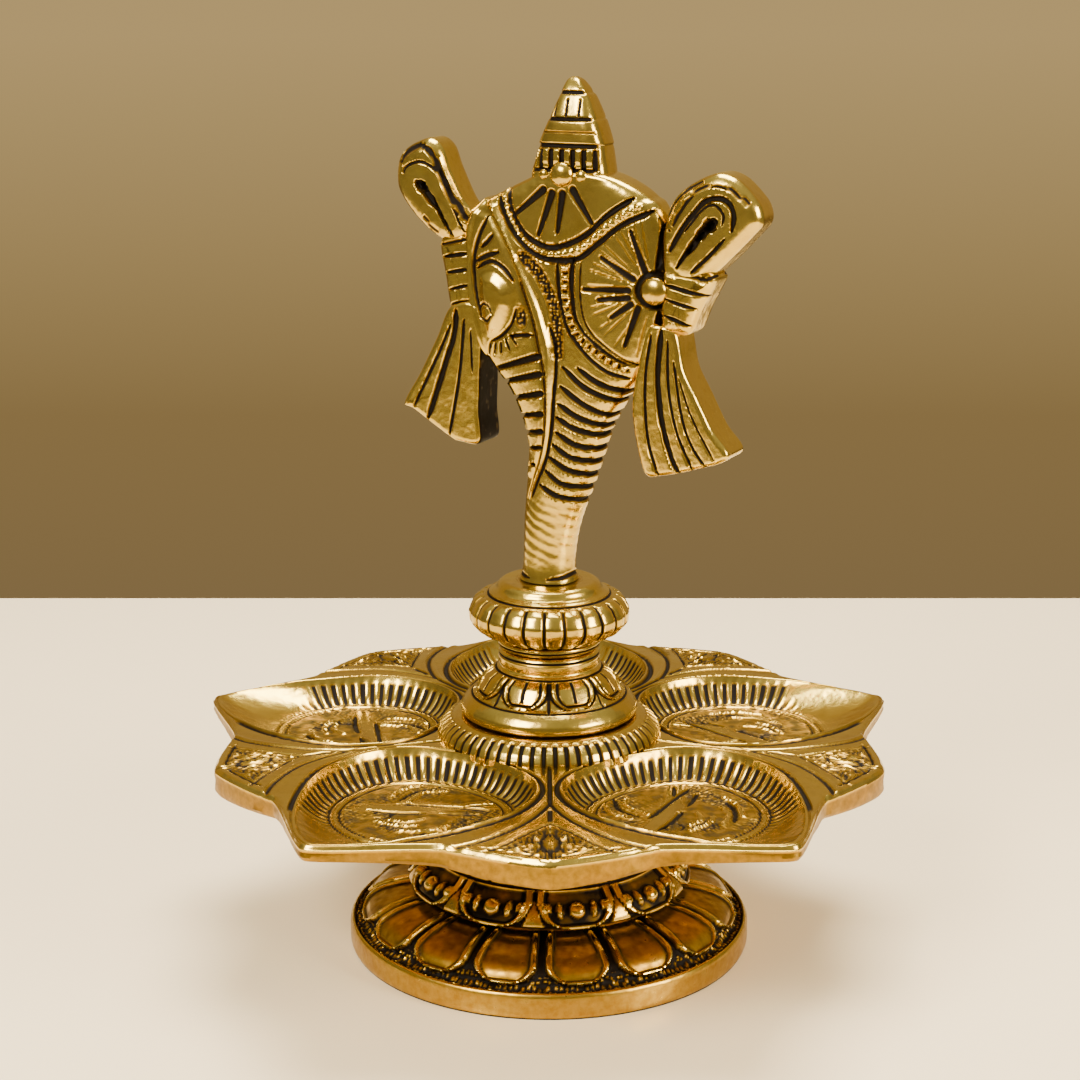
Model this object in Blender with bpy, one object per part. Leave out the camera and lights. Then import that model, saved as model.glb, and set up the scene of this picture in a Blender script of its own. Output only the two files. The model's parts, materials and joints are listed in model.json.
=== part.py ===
"""Five-cup oil lamp for the table.

A hollow lotus foot and a beaded calyx carry a five-petal tray with one oil cup in each
petal. A bell and a fluted knop stand on the tray's collar, and a conch shell tied with
ribbons crowns them. One threaded rod, screwed into the conch and drawn down by a nut
under the foot, clamps the whole stack, so the conch can be turned about the rod's axis.

Lengths are metres. The origin is on the rod's axis at table level, +Z up, with a leaf
of the tray's rim towards -Y.
"""
import math

import bmesh
import bpy
from mathutils import Vector

MM = 0.001
GAP = 0.3 * MM                # play between pieces that meet

# Rod and its fixings
ROD_RADIUS = 2.5 * MM
BORE_RADIUS = ROD_RADIUS + GAP
ROD_FOOT = 1.5 * MM           # lower end, clear of the table
ROD_HEAD = 97 * MM
NUT_ACROSS_FLATS = 8 * MM
NUT_HEIGHT = 4 * MM
WASHER_RADIUS = 5 * MM
WASHER_HEIGHT = 1 * MM
SPRING_WASHER_RADIUS = 4.4 * MM
SPRING_WASHER_HEIGHT = 1.2 * MM

# Foot
FOOT_RADIUS = 41.5 * MM
FOOT_TOP = 12 * MM
FOOT_WALL = 2.4 * MM
FOOT_PETALS = 16
FOOT_PETAL_TURN = math.radians(13.85)

# Calyx under the tray
CALYX_FOOT = FOOT_TOP + GAP
CALYX_TOP = 37.4 * MM
CALYX_LIP = 29.5 * MM
CALYX_PETALS = 10
CALYX_PETAL_TURN = math.radians(6.5)

# Tray
CUPS = 5
TRAY_TIP = 76 * MM            # axis to the point of a spout
TRAY_LEAF = 69.3 * MM         # axis to the point of a rim leaf
TRAY_NOTCH = 64.6 * MM        # axis to the dip between the two
NOTCH_ANGLE = math.radians(18.5)
RIM_TOP = 44.3 * MM
RIM_SKIRT = 5.5 * MM          # depth of the rim at a leaf
RIM_LIP = 3.2 * MM            # depth of the rim at a spout
RIM_WALL = 2.2 * MM
WELL_RADIUS = 15.5 * MM       # hole in the deck, under the collar
DECK = 2.7 * MM
CUP_NEAR = 22.9               # millimetres from the axis to the blunt end of a cup
CUP_HALF_WIDTH = 20.4
CUP_TIP = 73.2
CUP_FLOOR = 39.4 * MM
CUP_WALL = 1.5
COLLAR_RADIUS = 22.4 * MM
COLLAR_TOP = 49 * MM
COLLAR_TOP_RADIUS = 18.2 * MM

# Bell and knop
BELL_FOOT = COLLAR_TOP + GAP
BELL_TOP = 62.9 * MM
KNOP_FOOT = BELL_TOP + GAP
KNOP_TOP = 77 * MM
KNOP_FLUTES = 24

# Conch finial
FINIAL_FOOT = KNOP_TOP + GAP
FINIAL_TURN = math.radians(-26)
SOCKET_END = ROD_HEAD + 1 * MM
RIBBON_HALF = 4.6 * MM
BOW_HALF = 4.4 * MM
KNOT_HALF = 5.6 * MM

GOLD = (0.72, 0.43, 0.12, 1)
STEEL = (0.55, 0.55, 0.56, 1)


def clear_scene():
    for old in list(bpy.data.objects):
        bpy.data.objects.remove(old, do_unlink=True)


def metal(name, color, roughness):
    """A plain metal with the colour and polish of one sub-part."""
    made = bpy.data.materials.new(name)
    made.use_nodes = True
    shader = made.node_tree.nodes["Principled BSDF"]
    shader.inputs["Base Color"].default_value = color
    shader.inputs["Metallic"].default_value = 1
    shader.inputs["Roughness"].default_value = roughness
    return made


def solid(name, mesh_builder, color=GOLD, roughness=0.25, parent=None):
    """Turn a bmesh into a named object with its own material."""
    bmesh.ops.recalc_face_normals(mesh_builder, faces=mesh_builder.faces)
    mesh = bpy.data.meshes.new(name)
    mesh_builder.to_mesh(mesh)
    mesh_builder.free()
    mesh.materials.append(metal(name, color, roughness))
    mesh.shade_smooth()
    mesh.set_sharp_from_angle(angle=math.radians(35))
    made = bpy.data.objects.new(name, mesh)
    made.parent = parent
    bpy.context.collection.objects.link(made)
    return made


def combine(target, tool, operation, solver="EXACT"):
    """Cut the target by a tool, or weld the tool to it, and hide the tool."""
    tool.hide_render = True
    tool.display_type = "WIRE"
    step = target.modifiers.new(tool.name, "BOOLEAN")
    step.operation = operation
    step.solver = solver
    step.object = tool


def rings_to_solid(rings, closed):
    """Skin a row of equal point rings; closed joins the last ring to the first.

    Open rows get flat caps, and a cap that isn't flat fans out from its middle.
    """
    made = bmesh.new()
    loops = [[made.verts.new(point) for point in ring] for ring in rings]
    pairs = list(zip(loops, loops[1:]))
    if closed:
        pairs.append((loops[-1], loops[0]))
    count = len(loops[0])
    for low, high in pairs:
        for i in range(count):
            j = (i + 1) % count
            made.faces.new((low[i], low[j], high[j], high[i]))
    if closed:
        return made
    for loop in (loops[0], loops[-1]):
        heights = [vert.co.z for vert in loop]
        depths = [vert.co.y for vert in loop]
        if min(max(heights) - min(heights), max(depths) - min(depths)) > 1e-6:
            middle = made.verts.new(sum((vert.co for vert in loop), Vector()) / count)
            for i in range(count):
                made.faces.new((loop[i], loop[(i + 1) % count], middle))
        else:
            bmesh.ops.triangulate(made, faces=[made.faces.new(loop)])
    return made


def turned(profile, steps, relief=None):
    """Turn a closed profile of (radius, height) in millimetres about +Z."""
    rings = []
    for i in range(steps):
        angle = 2 * math.pi * i / steps
        ring = []
        for radius, height in profile:
            depth = relief(angle, radius, height) if relief else 0
            reach = (radius + depth) * MM
            ring.append((reach * math.cos(angle), reach * math.sin(angle), height * MM))
        rings.append(ring)
    return rings_to_solid(rings, closed=True)


def rod_shape(radius, low, high, steps):
    """A plain round bar along +Z."""
    rings = [circle(radius, height, steps) for height in (low, high)]
    return rings_to_solid(rings, closed=False)


def circle(radius, height, steps, turn=0.0):
    angles = [turn + 2 * math.pi * i / steps for i in range(steps)]
    return [(radius * math.cos(a), radius * math.sin(a), height) for a in angles]


def smooth_loop(points, parts=4):
    """A closed curve through the points, with parts steps from one to the next."""
    count = len(points)
    spots = [Vector(point) for point in points]
    curve = []
    for i in range(count):
        a, b, c, d = (spots[(i + k - 1) % count] for k in range(4))
        for step in range(parts):
            t = step / parts
            curve.append(0.5 * (2 * b + (c - a) * t + (2 * a - 5 * b + 4 * c - d) * t ** 2
                                + (3 * b - a - 3 * c + d) * t ** 3))
    return curve


def moved_in(loop, distance):
    """The loop with every point moved towards its inside (counter-clockwise loops)."""
    count = len(loop)
    shifted = []
    for i, point in enumerate(loop):
        along = (loop[(i + 1) % count] - loop[i - 1]).normalized()
        shifted.append(point + Vector((-along.y, along.x)) * distance)
    return shifted


# ---------------------------------------------------------------- foot and calyx

def lotus_foot():
    """Plinth band, stippled ledge and a ring of sixteen petals, hollow below."""
    top, wall = FOOT_TOP / MM, FOOT_WALL / MM
    radius, bore = FOOT_RADIUS / MM, BORE_RADIUS / MM
    profile = [(radius, 0), (radius, 4.8), (radius - 0.6, 5.6), (38.9, 5.6), (38.5, 7.4),
               (36.8, 9.4), (32.5, 11), (27.5, top), (bore, top), (bore, top - wall),
               (27, top - wall), (34, 7.6), (37.6, 4.6), (38.4, 0)]

    def petals(angle, reach, height):
        swell = abs(math.cos((angle + FOOT_PETAL_TURN) * FOOT_PETALS / 2))
        on_petal = 6 < height < 11.5 and reach > 28 and height > 50 - reach * 1.2
        return 0.9 * (swell - 0.6) if on_petal else 0

    return solid("lotus_foot", turned(profile, FOOT_PETALS * 4, petals))


def calyx():
    """Beaded upper tier of petals, drawn in to a waist and flared under the tray."""
    foot, top, lip = CALYX_FOOT / MM, CALYX_TOP / MM, CALYX_LIP / MM
    bore = BORE_RADIUS / MM
    profile = [(24, foot), (lip - 0.8, foot + 0.6), (lip, foot + 1.7), (28.4, 16.6),
               (24.6, 19.6), (20, 24), (14.6, 28), (13, 30.5), (14.6, 33.4),
               (20, 36.4), (20, top), (bore, top), (bore, top - 2.4), (12, top - 2.6),
               (10.8, 30), (16.6, 24), (21.5, 17), (21.5, foot)]

    def petals(angle, reach, height):
        swell = abs(math.cos((angle + CALYX_PETAL_TURN) * CALYX_PETALS / 2))
        return 1.1 * (swell - 0.6) if 13.5 < height < 21 and reach > 22 else 0

    return solid("calyx", turned(profile, CALYX_PETALS * 4, petals))


# ---------------------------------------------------------------- tray

def rim_radius(angle):
    """Reach of the tray's rim: a sharp spout every fifth turn and a leaf between."""
    sector = 2 * math.pi / CUPS
    from_leaf = abs((angle + math.pi / 2 + sector / 2) % sector - sector / 2)
    from_spout = sector / 2 - from_leaf
    if from_spout < NOTCH_ANGLE:
        rise = (1 - from_spout / NOTCH_ANGLE) ** 1.45
        return TRAY_NOTCH + (TRAY_TIP - TRAY_NOTCH) * rise
    rise = (1 - from_leaf / (sector / 2 - NOTCH_ANGLE)) ** 1.2
    return TRAY_NOTCH + (TRAY_LEAF - TRAY_NOTCH) * rise


def rim_depth(angle):
    """Depth of the rim's outer wall, deep at a leaf and shallow at a spout."""
    sector = 2 * math.pi / CUPS
    share = 0.5 + 0.5 * math.cos((angle + math.pi / 2) * 2 * math.pi / sector)
    return RIM_LIP + (RIM_SKIRT - RIM_LIP) * share


def rim_ring(inset, height, steps):
    """One ring of the rim, moved in by inset; a height of None follows the skirt."""
    ring = []
    for i in range(steps):
        angle = -math.pi / 2 + 2 * math.pi * i / steps
        reach = rim_radius(angle) - inset
        level = RIM_TOP - rim_depth(angle) if height is None else height
        ring.append((reach * math.cos(angle), reach * math.sin(angle), level))
    return ring


def cup_outline(inset, parts):
    """Teardrop of a cup, blunt by the collar and drawn out to the spout.

    The inset brings in the blunt end and the sides, and twice as much the spout.
    """
    near, wide, tip = CUP_NEAR + inset, CUP_HALF_WIDTH - inset, CUP_TIP - 2 * inset
    side = [(0.01, 0.32), (0.04, 0.64), (0.1, 0.845), (0.195, 0.97), (0.31, 1), (0.44, 0.93),
            (0.575, 0.79), (0.715, 0.59), (0.845, 0.36), (0.935, 0.165)]
    right = [(share, -width) for share, width in side]
    unit = [(0, 0)] + right + [(1, 0)] + side[::-1]
    points = [(near + (tip - near) * x, wide * y) for x, y in unit]
    return [point * MM for point in smooth_loop(points, parts)]


def cup_loft(name, levels, parts):
    """Five teardrop lofts round the axis; levels are (inset, height, spout height)."""
    made = bmesh.new()
    for cup in range(CUPS):
        turn = -math.pi / 2 + 2 * math.pi * (cup + 0.5) / CUPS
        rings = []
        for inset, height, spout in levels:
            ring = []
            for point in cup_outline(inset, parts):
                share = min(max((point.x - 55 * MM) / (18 * MM), 0), 1)
                level = height + (spout - height) * share
                x = point.x * math.cos(turn) - point.y * math.sin(turn)
                y = point.x * math.sin(turn) + point.y * math.cos(turn)
                ring.append((x, y, level))
            rings.append(ring)
        one = rings_to_solid(rings, closed=False)
        bmesh.ops.recalc_face_normals(one, faces=one.faces)
        copy = bpy.data.meshes.new(name)
        one.to_mesh(copy)
        one.free()
        made.from_mesh(copy)
        bpy.data.meshes.remove(copy)
    return solid(name, made)


def diya_tray():
    """Five-petal plate with a cup in each petal and a ribbed collar in the middle."""
    steps, deck = CUPS * 16, RIM_TOP - DECK
    rings = [circle(WELL_RADIUS, deck, steps, -math.pi / 2), rim_ring(RIM_WALL, deck, steps),
             rim_ring(RIM_WALL, None, steps), rim_ring(0.6 * MM, None, steps),
             rim_ring(0, RIM_TOP - 1.6 * MM, steps), rim_ring(0.7 * MM, RIM_TOP, steps),
             circle(WELL_RADIUS, RIM_TOP, steps, -math.pi / 2)]
    tray = solid("diya_tray", rings_to_solid(rings, closed=True))
    outside = [(-CUP_WALL + 0.6, deck + 1 * MM, deck + 1 * MM),
               (1.2, CUP_FLOOR + 0.6 * MM, deck - 0.2 * MM),
               (3.2, CUP_FLOOR - 2 * MM, deck - 0.8 * MM)]
    combine(tray, cup_loft("cup_backs", outside, 1), "UNION", "MANIFOLD")
    hub = [(20, CALYX_TOP / MM + 0.3), (COLLAR_RADIUS / MM + 1, 41), (COLLAR_RADIUS / MM, 44.6),
           (COLLAR_TOP_RADIUS / MM, COLLAR_TOP / MM), (15.6, COLLAR_TOP / MM), (17.4, 46),
           (15, 40.5), (BORE_RADIUS / MM, 40.5), (BORE_RADIUS / MM, CALYX_TOP / MM + 0.3)]
    combine(tray, solid("hub_collar", turned(hub, 40)), "UNION", "MANIFOLD")
    spout = RIM_TOP - 1.4 * MM
    inside = [(0, RIM_TOP + 1 * MM, RIM_TOP + 1 * MM), (0.2, RIM_TOP - 0.8 * MM, spout),
              (2.2, CUP_FLOOR + 1.2 * MM, spout - 0.2 * MM), (4.2, CUP_FLOOR, spout - 0.3 * MM)]
    combine(tray, cup_loft("cup_hollows", inside, 2), "DIFFERENCE", "MANIFOLD")
    return tray


# ---------------------------------------------------------------- bell and knop

def bell():
    """Flanged bell with a neck ring, hollow below."""
    foot, top, bore = BELL_FOOT / MM, BELL_TOP / MM, BORE_RADIUS / MM
    profile = [(17.9, foot), (17.9, foot + 2), (17, foot + 2.6), (15.6, 54.4), (13, 56.8),
               (10, 58.7), (10.2, 59.4), (10.2, top - 0.4), (9.8, top), (bore, top),
               (bore, top - 2.6), (7.6, top - 2.6), (11.5, 55), (15.4, foot)]
    return solid("bell", turned(profile, 40))


def knop():
    """Fluted bead between a thin ring and a cap disc, cored out round the rod."""
    foot, top, bore = KNOP_FOOT / MM, KNOP_TOP / MM, BORE_RADIUS / MM
    profile = [(10.2, foot), (10.4, foot + 1.5), (10.6, foot + 2.2), (14.4, 67.4),
               (15.9, 70.2), (14.6, 73), (10.6, 75.2), (10.5, top), (bore, top),
               (bore, top - 3), (9, 71.6), (9, 68.4), (bore, foot + 3), (bore, foot)]

    def flutes(angle, reach, height):
        wave = math.cos(angle * KNOP_FLUTES)
        return 0.25 * wave if 66 < height < 74.5 and reach > 12 else 0

    return solid("knop", turned(profile, KNOP_FLUTES * 2, flutes))


# ---------------------------------------------------------------- conch finial

def shell_section(height, left, right, half, steps=28):
    """One level of the conch: a squared-off oval from left to right."""
    middle, reach = (left + right) / 2, (right - left) / 2
    squareness = 0.75 if reach > 1.4 * half else 1
    ring = []
    for i in range(steps):
        c, s = math.cos(2 * math.pi * i / steps), math.sin(2 * math.pi * i / steps)
        x = middle + reach * math.copysign(abs(c) ** squareness, c)
        y = half * math.copysign(abs(s) ** squareness, s)
        ring.append((x * MM, y * MM, height * MM))
    return ring


def shell_body(axis):
    """Stem, swelling shell and the stepped crown, as one skinned shape."""
    foot = FINIAL_FOOT / MM
    levels = [(foot, -5.7, 5.7, 5.7), (84, -5.6, 6.1, 5.5), (90, -5.4, 7.4, 5.2),
              (97, -4.4, 9.8, 5.2), (104, -3.3, 11.9, 5.2), (110, -4.4, 13.8, 5.3),
              (116, -7.2, 17.2, 5.4), (120, -10.8, 20.2, 5.4), (126, -14.9, 23.4, 5.4),
              (133, -16.3, 25.3, 5.4), (142, -16.6, 25.6, 5.4), (149, -16.4, 25.4, 5.3),
              (153, -12.4, 24.4, 5.2), (156.3, -5.4, 20.5, 5), (159, -1.5, 14, 4.9),
              (164.2, -0.1, 13.6, 4.8), (168.6, 1.8, 12.2, 4.6), (173.2, 4, 10.6, 3),
              (174.9, 4.6, 9.8, 2.4), (176.7, 5.4, 7, 0.8)]
    rings = [shell_section(*level) for level in levels]
    return solid("conch_finial", rings_to_solid(rings, closed=False), parent=axis)


def flat_shape(name, outline, half, axis, edge=1.0 * MM, parts=3):
    """A flat shape seen from the front, with its front and back edges eased."""
    loop = [point * MM for point in smooth_loop(outline, parts)]
    area = sum(a.x * b.y - b.x * a.y for a, b in zip(loop, loop[1:] + loop[:1]))
    if area < 0:
        loop.reverse()
    layers = [(edge, -half), (0, edge - half), (0, half - edge), (edge, half)]
    rings = [[(p.x, depth, p.y) for p in moved_in(loop, inset)] for inset, depth in layers]
    return solid(name, rings_to_solid(rings, closed=False), parent=axis)


RIGHT_BOW = [(25.6, 141), (25.6, 148.6), (27.6, 154.6), (30.6, 157.2), (33.8, 159),
             (36.8, 159.8), (39.8, 158.7), (42.5, 156.5), (44.4, 154), (44.9, 151),
             (42.8, 148.6), (37.4, 142.7), (33.7, 139.7)]
RIGHT_KNOT = [(21, 133), (22, 141), (28, 142.2), (35.8, 140.6), (33.3, 134.4), (30.9, 129.6),
              (24, 129)]
RIGHT_TAIL = [(22.5, 130), (20.5, 122), (19.8, 116.7), (19.8, 112.2), (21, 106),
              (22.9, 101.6), (25.9, 101.9), (32.3, 103.6), (39.4, 106.5), (36, 111.5),
              (32.7, 117.6), (30, 122.7), (28.4, 129)]
LEFT_BOW = [(-14.6, 148.6), (-17.6, 153), (-20.4, 158.6), (-22, 162.6), (-24.4, 164.3),
            (-27.2, 163.5), (-30, 161.8), (-31.4, 160), (-31.9, 156.7), (-31.3, 153.4),
            (-27.5, 148.6), (-22, 145)]
LEFT_KNOT = [(-22.2, 144.2), (-16, 146.4), (-12.6, 144), (-12.8, 132), (-15.6, 129.8),
             (-20.2, 131), (-21, 138)]
LEFT_TAIL = [(-19.5, 131.5), (-23.1, 125), (-30.4, 111.5), (-28.2, 110.3), (-20.5, 105.5),
             (-17.9, 104.6), (-13.4, 104.7), (-13.8, 117), (-13.8, 131)]


def conch_finial(axis):
    """Conch shell with a bow, a knot and a tail cast on each side, bored for the rod."""
    shell = shell_body(axis)
    ribbons = [("right_bow", RIGHT_BOW, BOW_HALF), ("left_bow", LEFT_BOW, BOW_HALF),
               ("right_tail", RIGHT_TAIL, RIBBON_HALF), ("left_tail", LEFT_TAIL, RIBBON_HALF),
               ("right_knot", RIGHT_KNOT, KNOT_HALF), ("left_knot", LEFT_KNOT, KNOT_HALF)]
    for name, outline, half in ribbons:
        combine(shell, flat_shape(name, outline, half, axis), "UNION", "MANIFOLD")
    socket = rod_shape(BORE_RADIUS, FINIAL_FOOT - 2 * MM, SOCKET_END, 20)
    combine(shell, solid("rod_socket", socket, parent=axis), "DIFFERENCE", "MANIFOLD")
    return shell


# ---------------------------------------------------------------- rod and fixings

def washer(name, radius, low, high, axis):
    bore = BORE_RADIUS / MM
    profile = [(radius / MM, low / MM), (radius / MM, high / MM), (bore, high / MM),
               (bore, low / MM)]
    return solid(name, turned(profile, 32), STEEL, 0.35, axis)


def fixings(axis):
    """Threaded rod, flat washer, spring washer and nut, turning with the finial."""
    solid("tie_rod", rod_shape(ROD_RADIUS, ROD_FOOT, ROD_HEAD, 20), STEEL, 0.4, axis)
    washer_low = FOOT_TOP - FOOT_WALL - GAP - WASHER_HEIGHT
    washer("flat_washer", WASHER_RADIUS, washer_low, washer_low + WASHER_HEIGHT, axis)
    spring_low = washer_low - GAP - SPRING_WASHER_HEIGHT
    washer("spring_washer", SPRING_WASHER_RADIUS, spring_low,
           spring_low + SPRING_WASHER_HEIGHT, axis)
    nut_high = spring_low - GAP
    corner = NUT_ACROSS_FLATS / 2 / math.cos(math.pi / 6)
    hexagon = [circle(corner, height, 6) for height in (nut_high - NUT_HEIGHT, nut_high)]
    nut = solid("foot_nut", rings_to_solid(hexagon, closed=False), STEEL, 0.3, axis)
    bore = rod_shape(BORE_RADIUS, nut_high - 2 * NUT_HEIGHT, nut_high + GAP, 20)
    combine(nut, solid("nut_bore", bore, parent=axis), "DIFFERENCE")


def main():
    clear_scene()
    axis = bpy.data.objects.new("finial_turn_axis", None)
    axis.rotation_euler.z = FINIAL_TURN
    bpy.context.collection.objects.link(axis)
    lotus_foot()
    calyx()
    diya_tray()
    bell()
    knop()
    conch_finial(axis)
    fixings(axis)


main()
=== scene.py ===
# %% [markdown]
# # A five-cup oil lamp, cast, plated and antiqued
# This lamp is a stack of small castings on one threaded rod: a lotus foot, a beaded calyx,
# a tray with five oil cups, a bell, a fluted knop and a conch shell tied with ribbons.
# Its castings are gold plated, flooded with black lacquer, and rubbed back, so the high
# places are bright and every hollow stays black. Nearly all of its character is relief
# under two millimetres deep. Each casting is therefore one fine grid of points, worked
# out with numpy: a plain shape first, then grooves, ridges and beads added to it as a
# height. The same sums say where the lacquer stays, so the black always lies in the cuts.
# The first cell loads the packed model, which fixes every place and size.

# %% Load the fixed frame
import json
import math

import bpy
import numpy as np
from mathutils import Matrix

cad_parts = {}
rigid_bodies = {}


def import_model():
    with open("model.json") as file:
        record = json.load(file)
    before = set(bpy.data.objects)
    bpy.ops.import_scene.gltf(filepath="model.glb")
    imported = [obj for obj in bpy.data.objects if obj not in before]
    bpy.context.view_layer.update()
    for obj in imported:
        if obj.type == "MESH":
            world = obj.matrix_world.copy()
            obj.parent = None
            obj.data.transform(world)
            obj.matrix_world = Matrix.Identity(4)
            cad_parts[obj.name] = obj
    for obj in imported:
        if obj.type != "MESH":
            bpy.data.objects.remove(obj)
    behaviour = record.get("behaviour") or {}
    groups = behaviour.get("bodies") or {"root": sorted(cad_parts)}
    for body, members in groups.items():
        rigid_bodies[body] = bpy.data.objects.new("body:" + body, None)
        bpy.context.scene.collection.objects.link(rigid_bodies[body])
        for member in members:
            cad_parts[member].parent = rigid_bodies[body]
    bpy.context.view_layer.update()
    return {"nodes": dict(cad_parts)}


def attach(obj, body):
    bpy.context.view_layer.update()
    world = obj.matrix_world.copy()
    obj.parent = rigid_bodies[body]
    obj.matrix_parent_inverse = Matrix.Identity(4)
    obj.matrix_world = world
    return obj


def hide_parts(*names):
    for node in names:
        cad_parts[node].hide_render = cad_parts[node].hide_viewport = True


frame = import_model()

# %% [markdown]
# ## Small sums that every casting uses
# A carver marks a line on the metal and cuts along it. Here a line is a curve through a
# few points, and a cut is a function of the distance from that line. Three sums do it:
# an easing step, a smooth curve through points, and the distance from every grid point
# to a curve. They work on whole arrays, which is what makes 100,000 points quick.

# %% Steps, curves and distances
MM = 0.001
FULL_TURN = 2 * math.pi


def smooth(x):
    """3x² - 2x³, from 0 at x = 0 to 1 at x = 1."""
    x = np.clip(x, 0, 1)
    return x * x * (3 - 2 * x)


def between(x, low, high, ease, ease_high=None):
    """1 from low to high: it eases up above low, and down again below high."""
    return smooth((x - low) / ease) * smooth((high - x) / (ease_high or ease))


def curve(points, closed=False, parts=6):
    """Catmull-Rom curve: each span is a cubic whose slope at a point is half the way
    from the point before it to the point after it."""
    p = np.asarray(points, float)
    if closed:
        a, b, c, d = np.roll(p, 1, 0), p, np.roll(p, -1, 0), np.roll(p, -2, 0)
    else:
        longer = np.vstack([2 * p[0] - p[1], p, 2 * p[-1] - p[-2]])
        a, b, c, d = longer[:-3], longer[1:-2], longer[2:-1], longer[3:]
    t = (np.arange(parts) / parts)[None, :, None]
    a, b, c, d = (k[:, None, :] for k in (a, b, c, d))
    made = 0.5 * (2 * b + (c - a) * t + (2 * a - 5 * b + 4 * c - d) * t ** 2
                  + (3 * b - a - 3 * c + d) * t ** 3)
    made = made.reshape(-1, p.shape[1])
    return np.vstack([made, made[:1]]) if closed else np.vstack([made, p[-1:]])


def follow(x, y, line, reach=1e9):
    """Distance of each (x, y) from a line of points, and how far along it the nearest
    place is. Places further than reach from the line's box are left at infinity."""
    distance, along = np.full(x.shape, np.inf), np.zeros(x.shape)
    low, high = line.min(0) - reach, line.max(0) + reach
    near = (x > low[0]) & (x < high[0]) & (y > low[1]) & (y < high[1])
    px, py = x[near], y[near]
    best, where, run = np.full(px.shape, np.inf), np.zeros(px.shape), 0.0
    for start, end in zip(line, line[1:]):
        step = end - start
        length = math.hypot(*step)
        if length == 0:
            continue
        share = ((px - start[0]) * step[0] + (py - start[1]) * step[1]) / length ** 2
        share = np.clip(share, 0, 1)
        away = np.hypot(px - start[0] - share * step[0], py - start[1] - share * step[1])
        closer = away < best
        best = np.where(closer, away, best)
        where = np.where(closer, run + share * length, where)
        run += length
    distance[near], along[near] = best, where
    return distance, along


def inside(x, y, loop):
    """True where a ray towards +x crosses the closed loop an odd number of times."""
    odd = np.zeros(x.shape, bool)
    for (ax, ay), (bx, by) in zip(loop, loop[1:]):
        if ay != by:
            crosses = ((ay > y) != (by > y)) & (x < (bx - ax) * (y - ay) / (by - ay) + ax)
            odd ^= crosses
    return odd


def signed(x, y, loop):
    """Distance from a closed loop, positive inside it and negative outside."""
    return follow(x, y, loop)[0] * np.where(inside(x, y, loop), 1, -1)


square = curve([(0, 0), (1, 0), (1, 1), (0, 1)], closed=True)
print("smooth(0.5) =", smooth(0.5), "| a curve round a square has", len(square), "points")

# %% [markdown]
# ## Relief: a height and a coat of lacquer
# Chasing tools leave four marks: a groove, a ridge, a row of beads, and a matted ground of
# tiny grains. Each mark changes the height, and also the lacquer: cuts keep it and raised
# metal is rubbed clean. A small class holds both together over one grid, so that a mark
# is one call. The grains come from a jittered grid of round bumps, which is cheaper than
# scattering thousands of separate beads and still prints as real geometry.

# %% Marks of the chasing tools
def stroke(distance, half):
    """Cross-section of a tool mark: 1 over its flat bottom, easing to 0 at half."""
    return 1 - smooth((np.abs(distance) / half - 0.3) / 0.7)


def grains(u, v, around=4096, size=0.46):
    """Round grains, one to each unit cell and shifted in it at random: the height is
    1 - (distance / size)², cut off at 0. The pattern repeats after `around` cells."""
    shift = np.random.default_rng(11).random((2, 67, 61)) - 0.5
    cell_u, cell_v = np.floor(u), np.floor(v)
    height = np.zeros(np.broadcast(u, v).shape)
    for step_u in (-1, 0, 1):
        for step_v in (-1, 0, 1):
            cu, cv = cell_u + step_u, cell_v + step_v
            i, j = (cu % around).astype(int) % 67, cv.astype(int) % 61
            du = u - cu - 0.5 - 0.6 * shift[0, i, j]
            dv = v - cv - 0.5 - 0.6 * shift[1, i, j]
            height = np.maximum(height, 1 - (du * du + dv * dv) / size ** 2)
    return height


def blotches(u, v, around=4096):
    """Slow random change from 0 to 1: random values on whole numbers, eased between."""
    values = np.random.default_rng(23).random((67, 61))
    cu, cv = np.floor(u), np.floor(v)
    i, j = (cu % around).astype(int), cv.astype(int)
    right = ((cu + 1) % around).astype(int) % 67
    fu, fv = smooth(u - cu), smooth(v - cv)
    low = values[i % 67, j % 61] * (1 - fu) + values[right, j % 61] * fu
    high = values[i % 67, (j + 1) % 61] * (1 - fu) + values[right, (j + 1) % 61] * fu
    return low * (1 - fv) + high * fv


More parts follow.
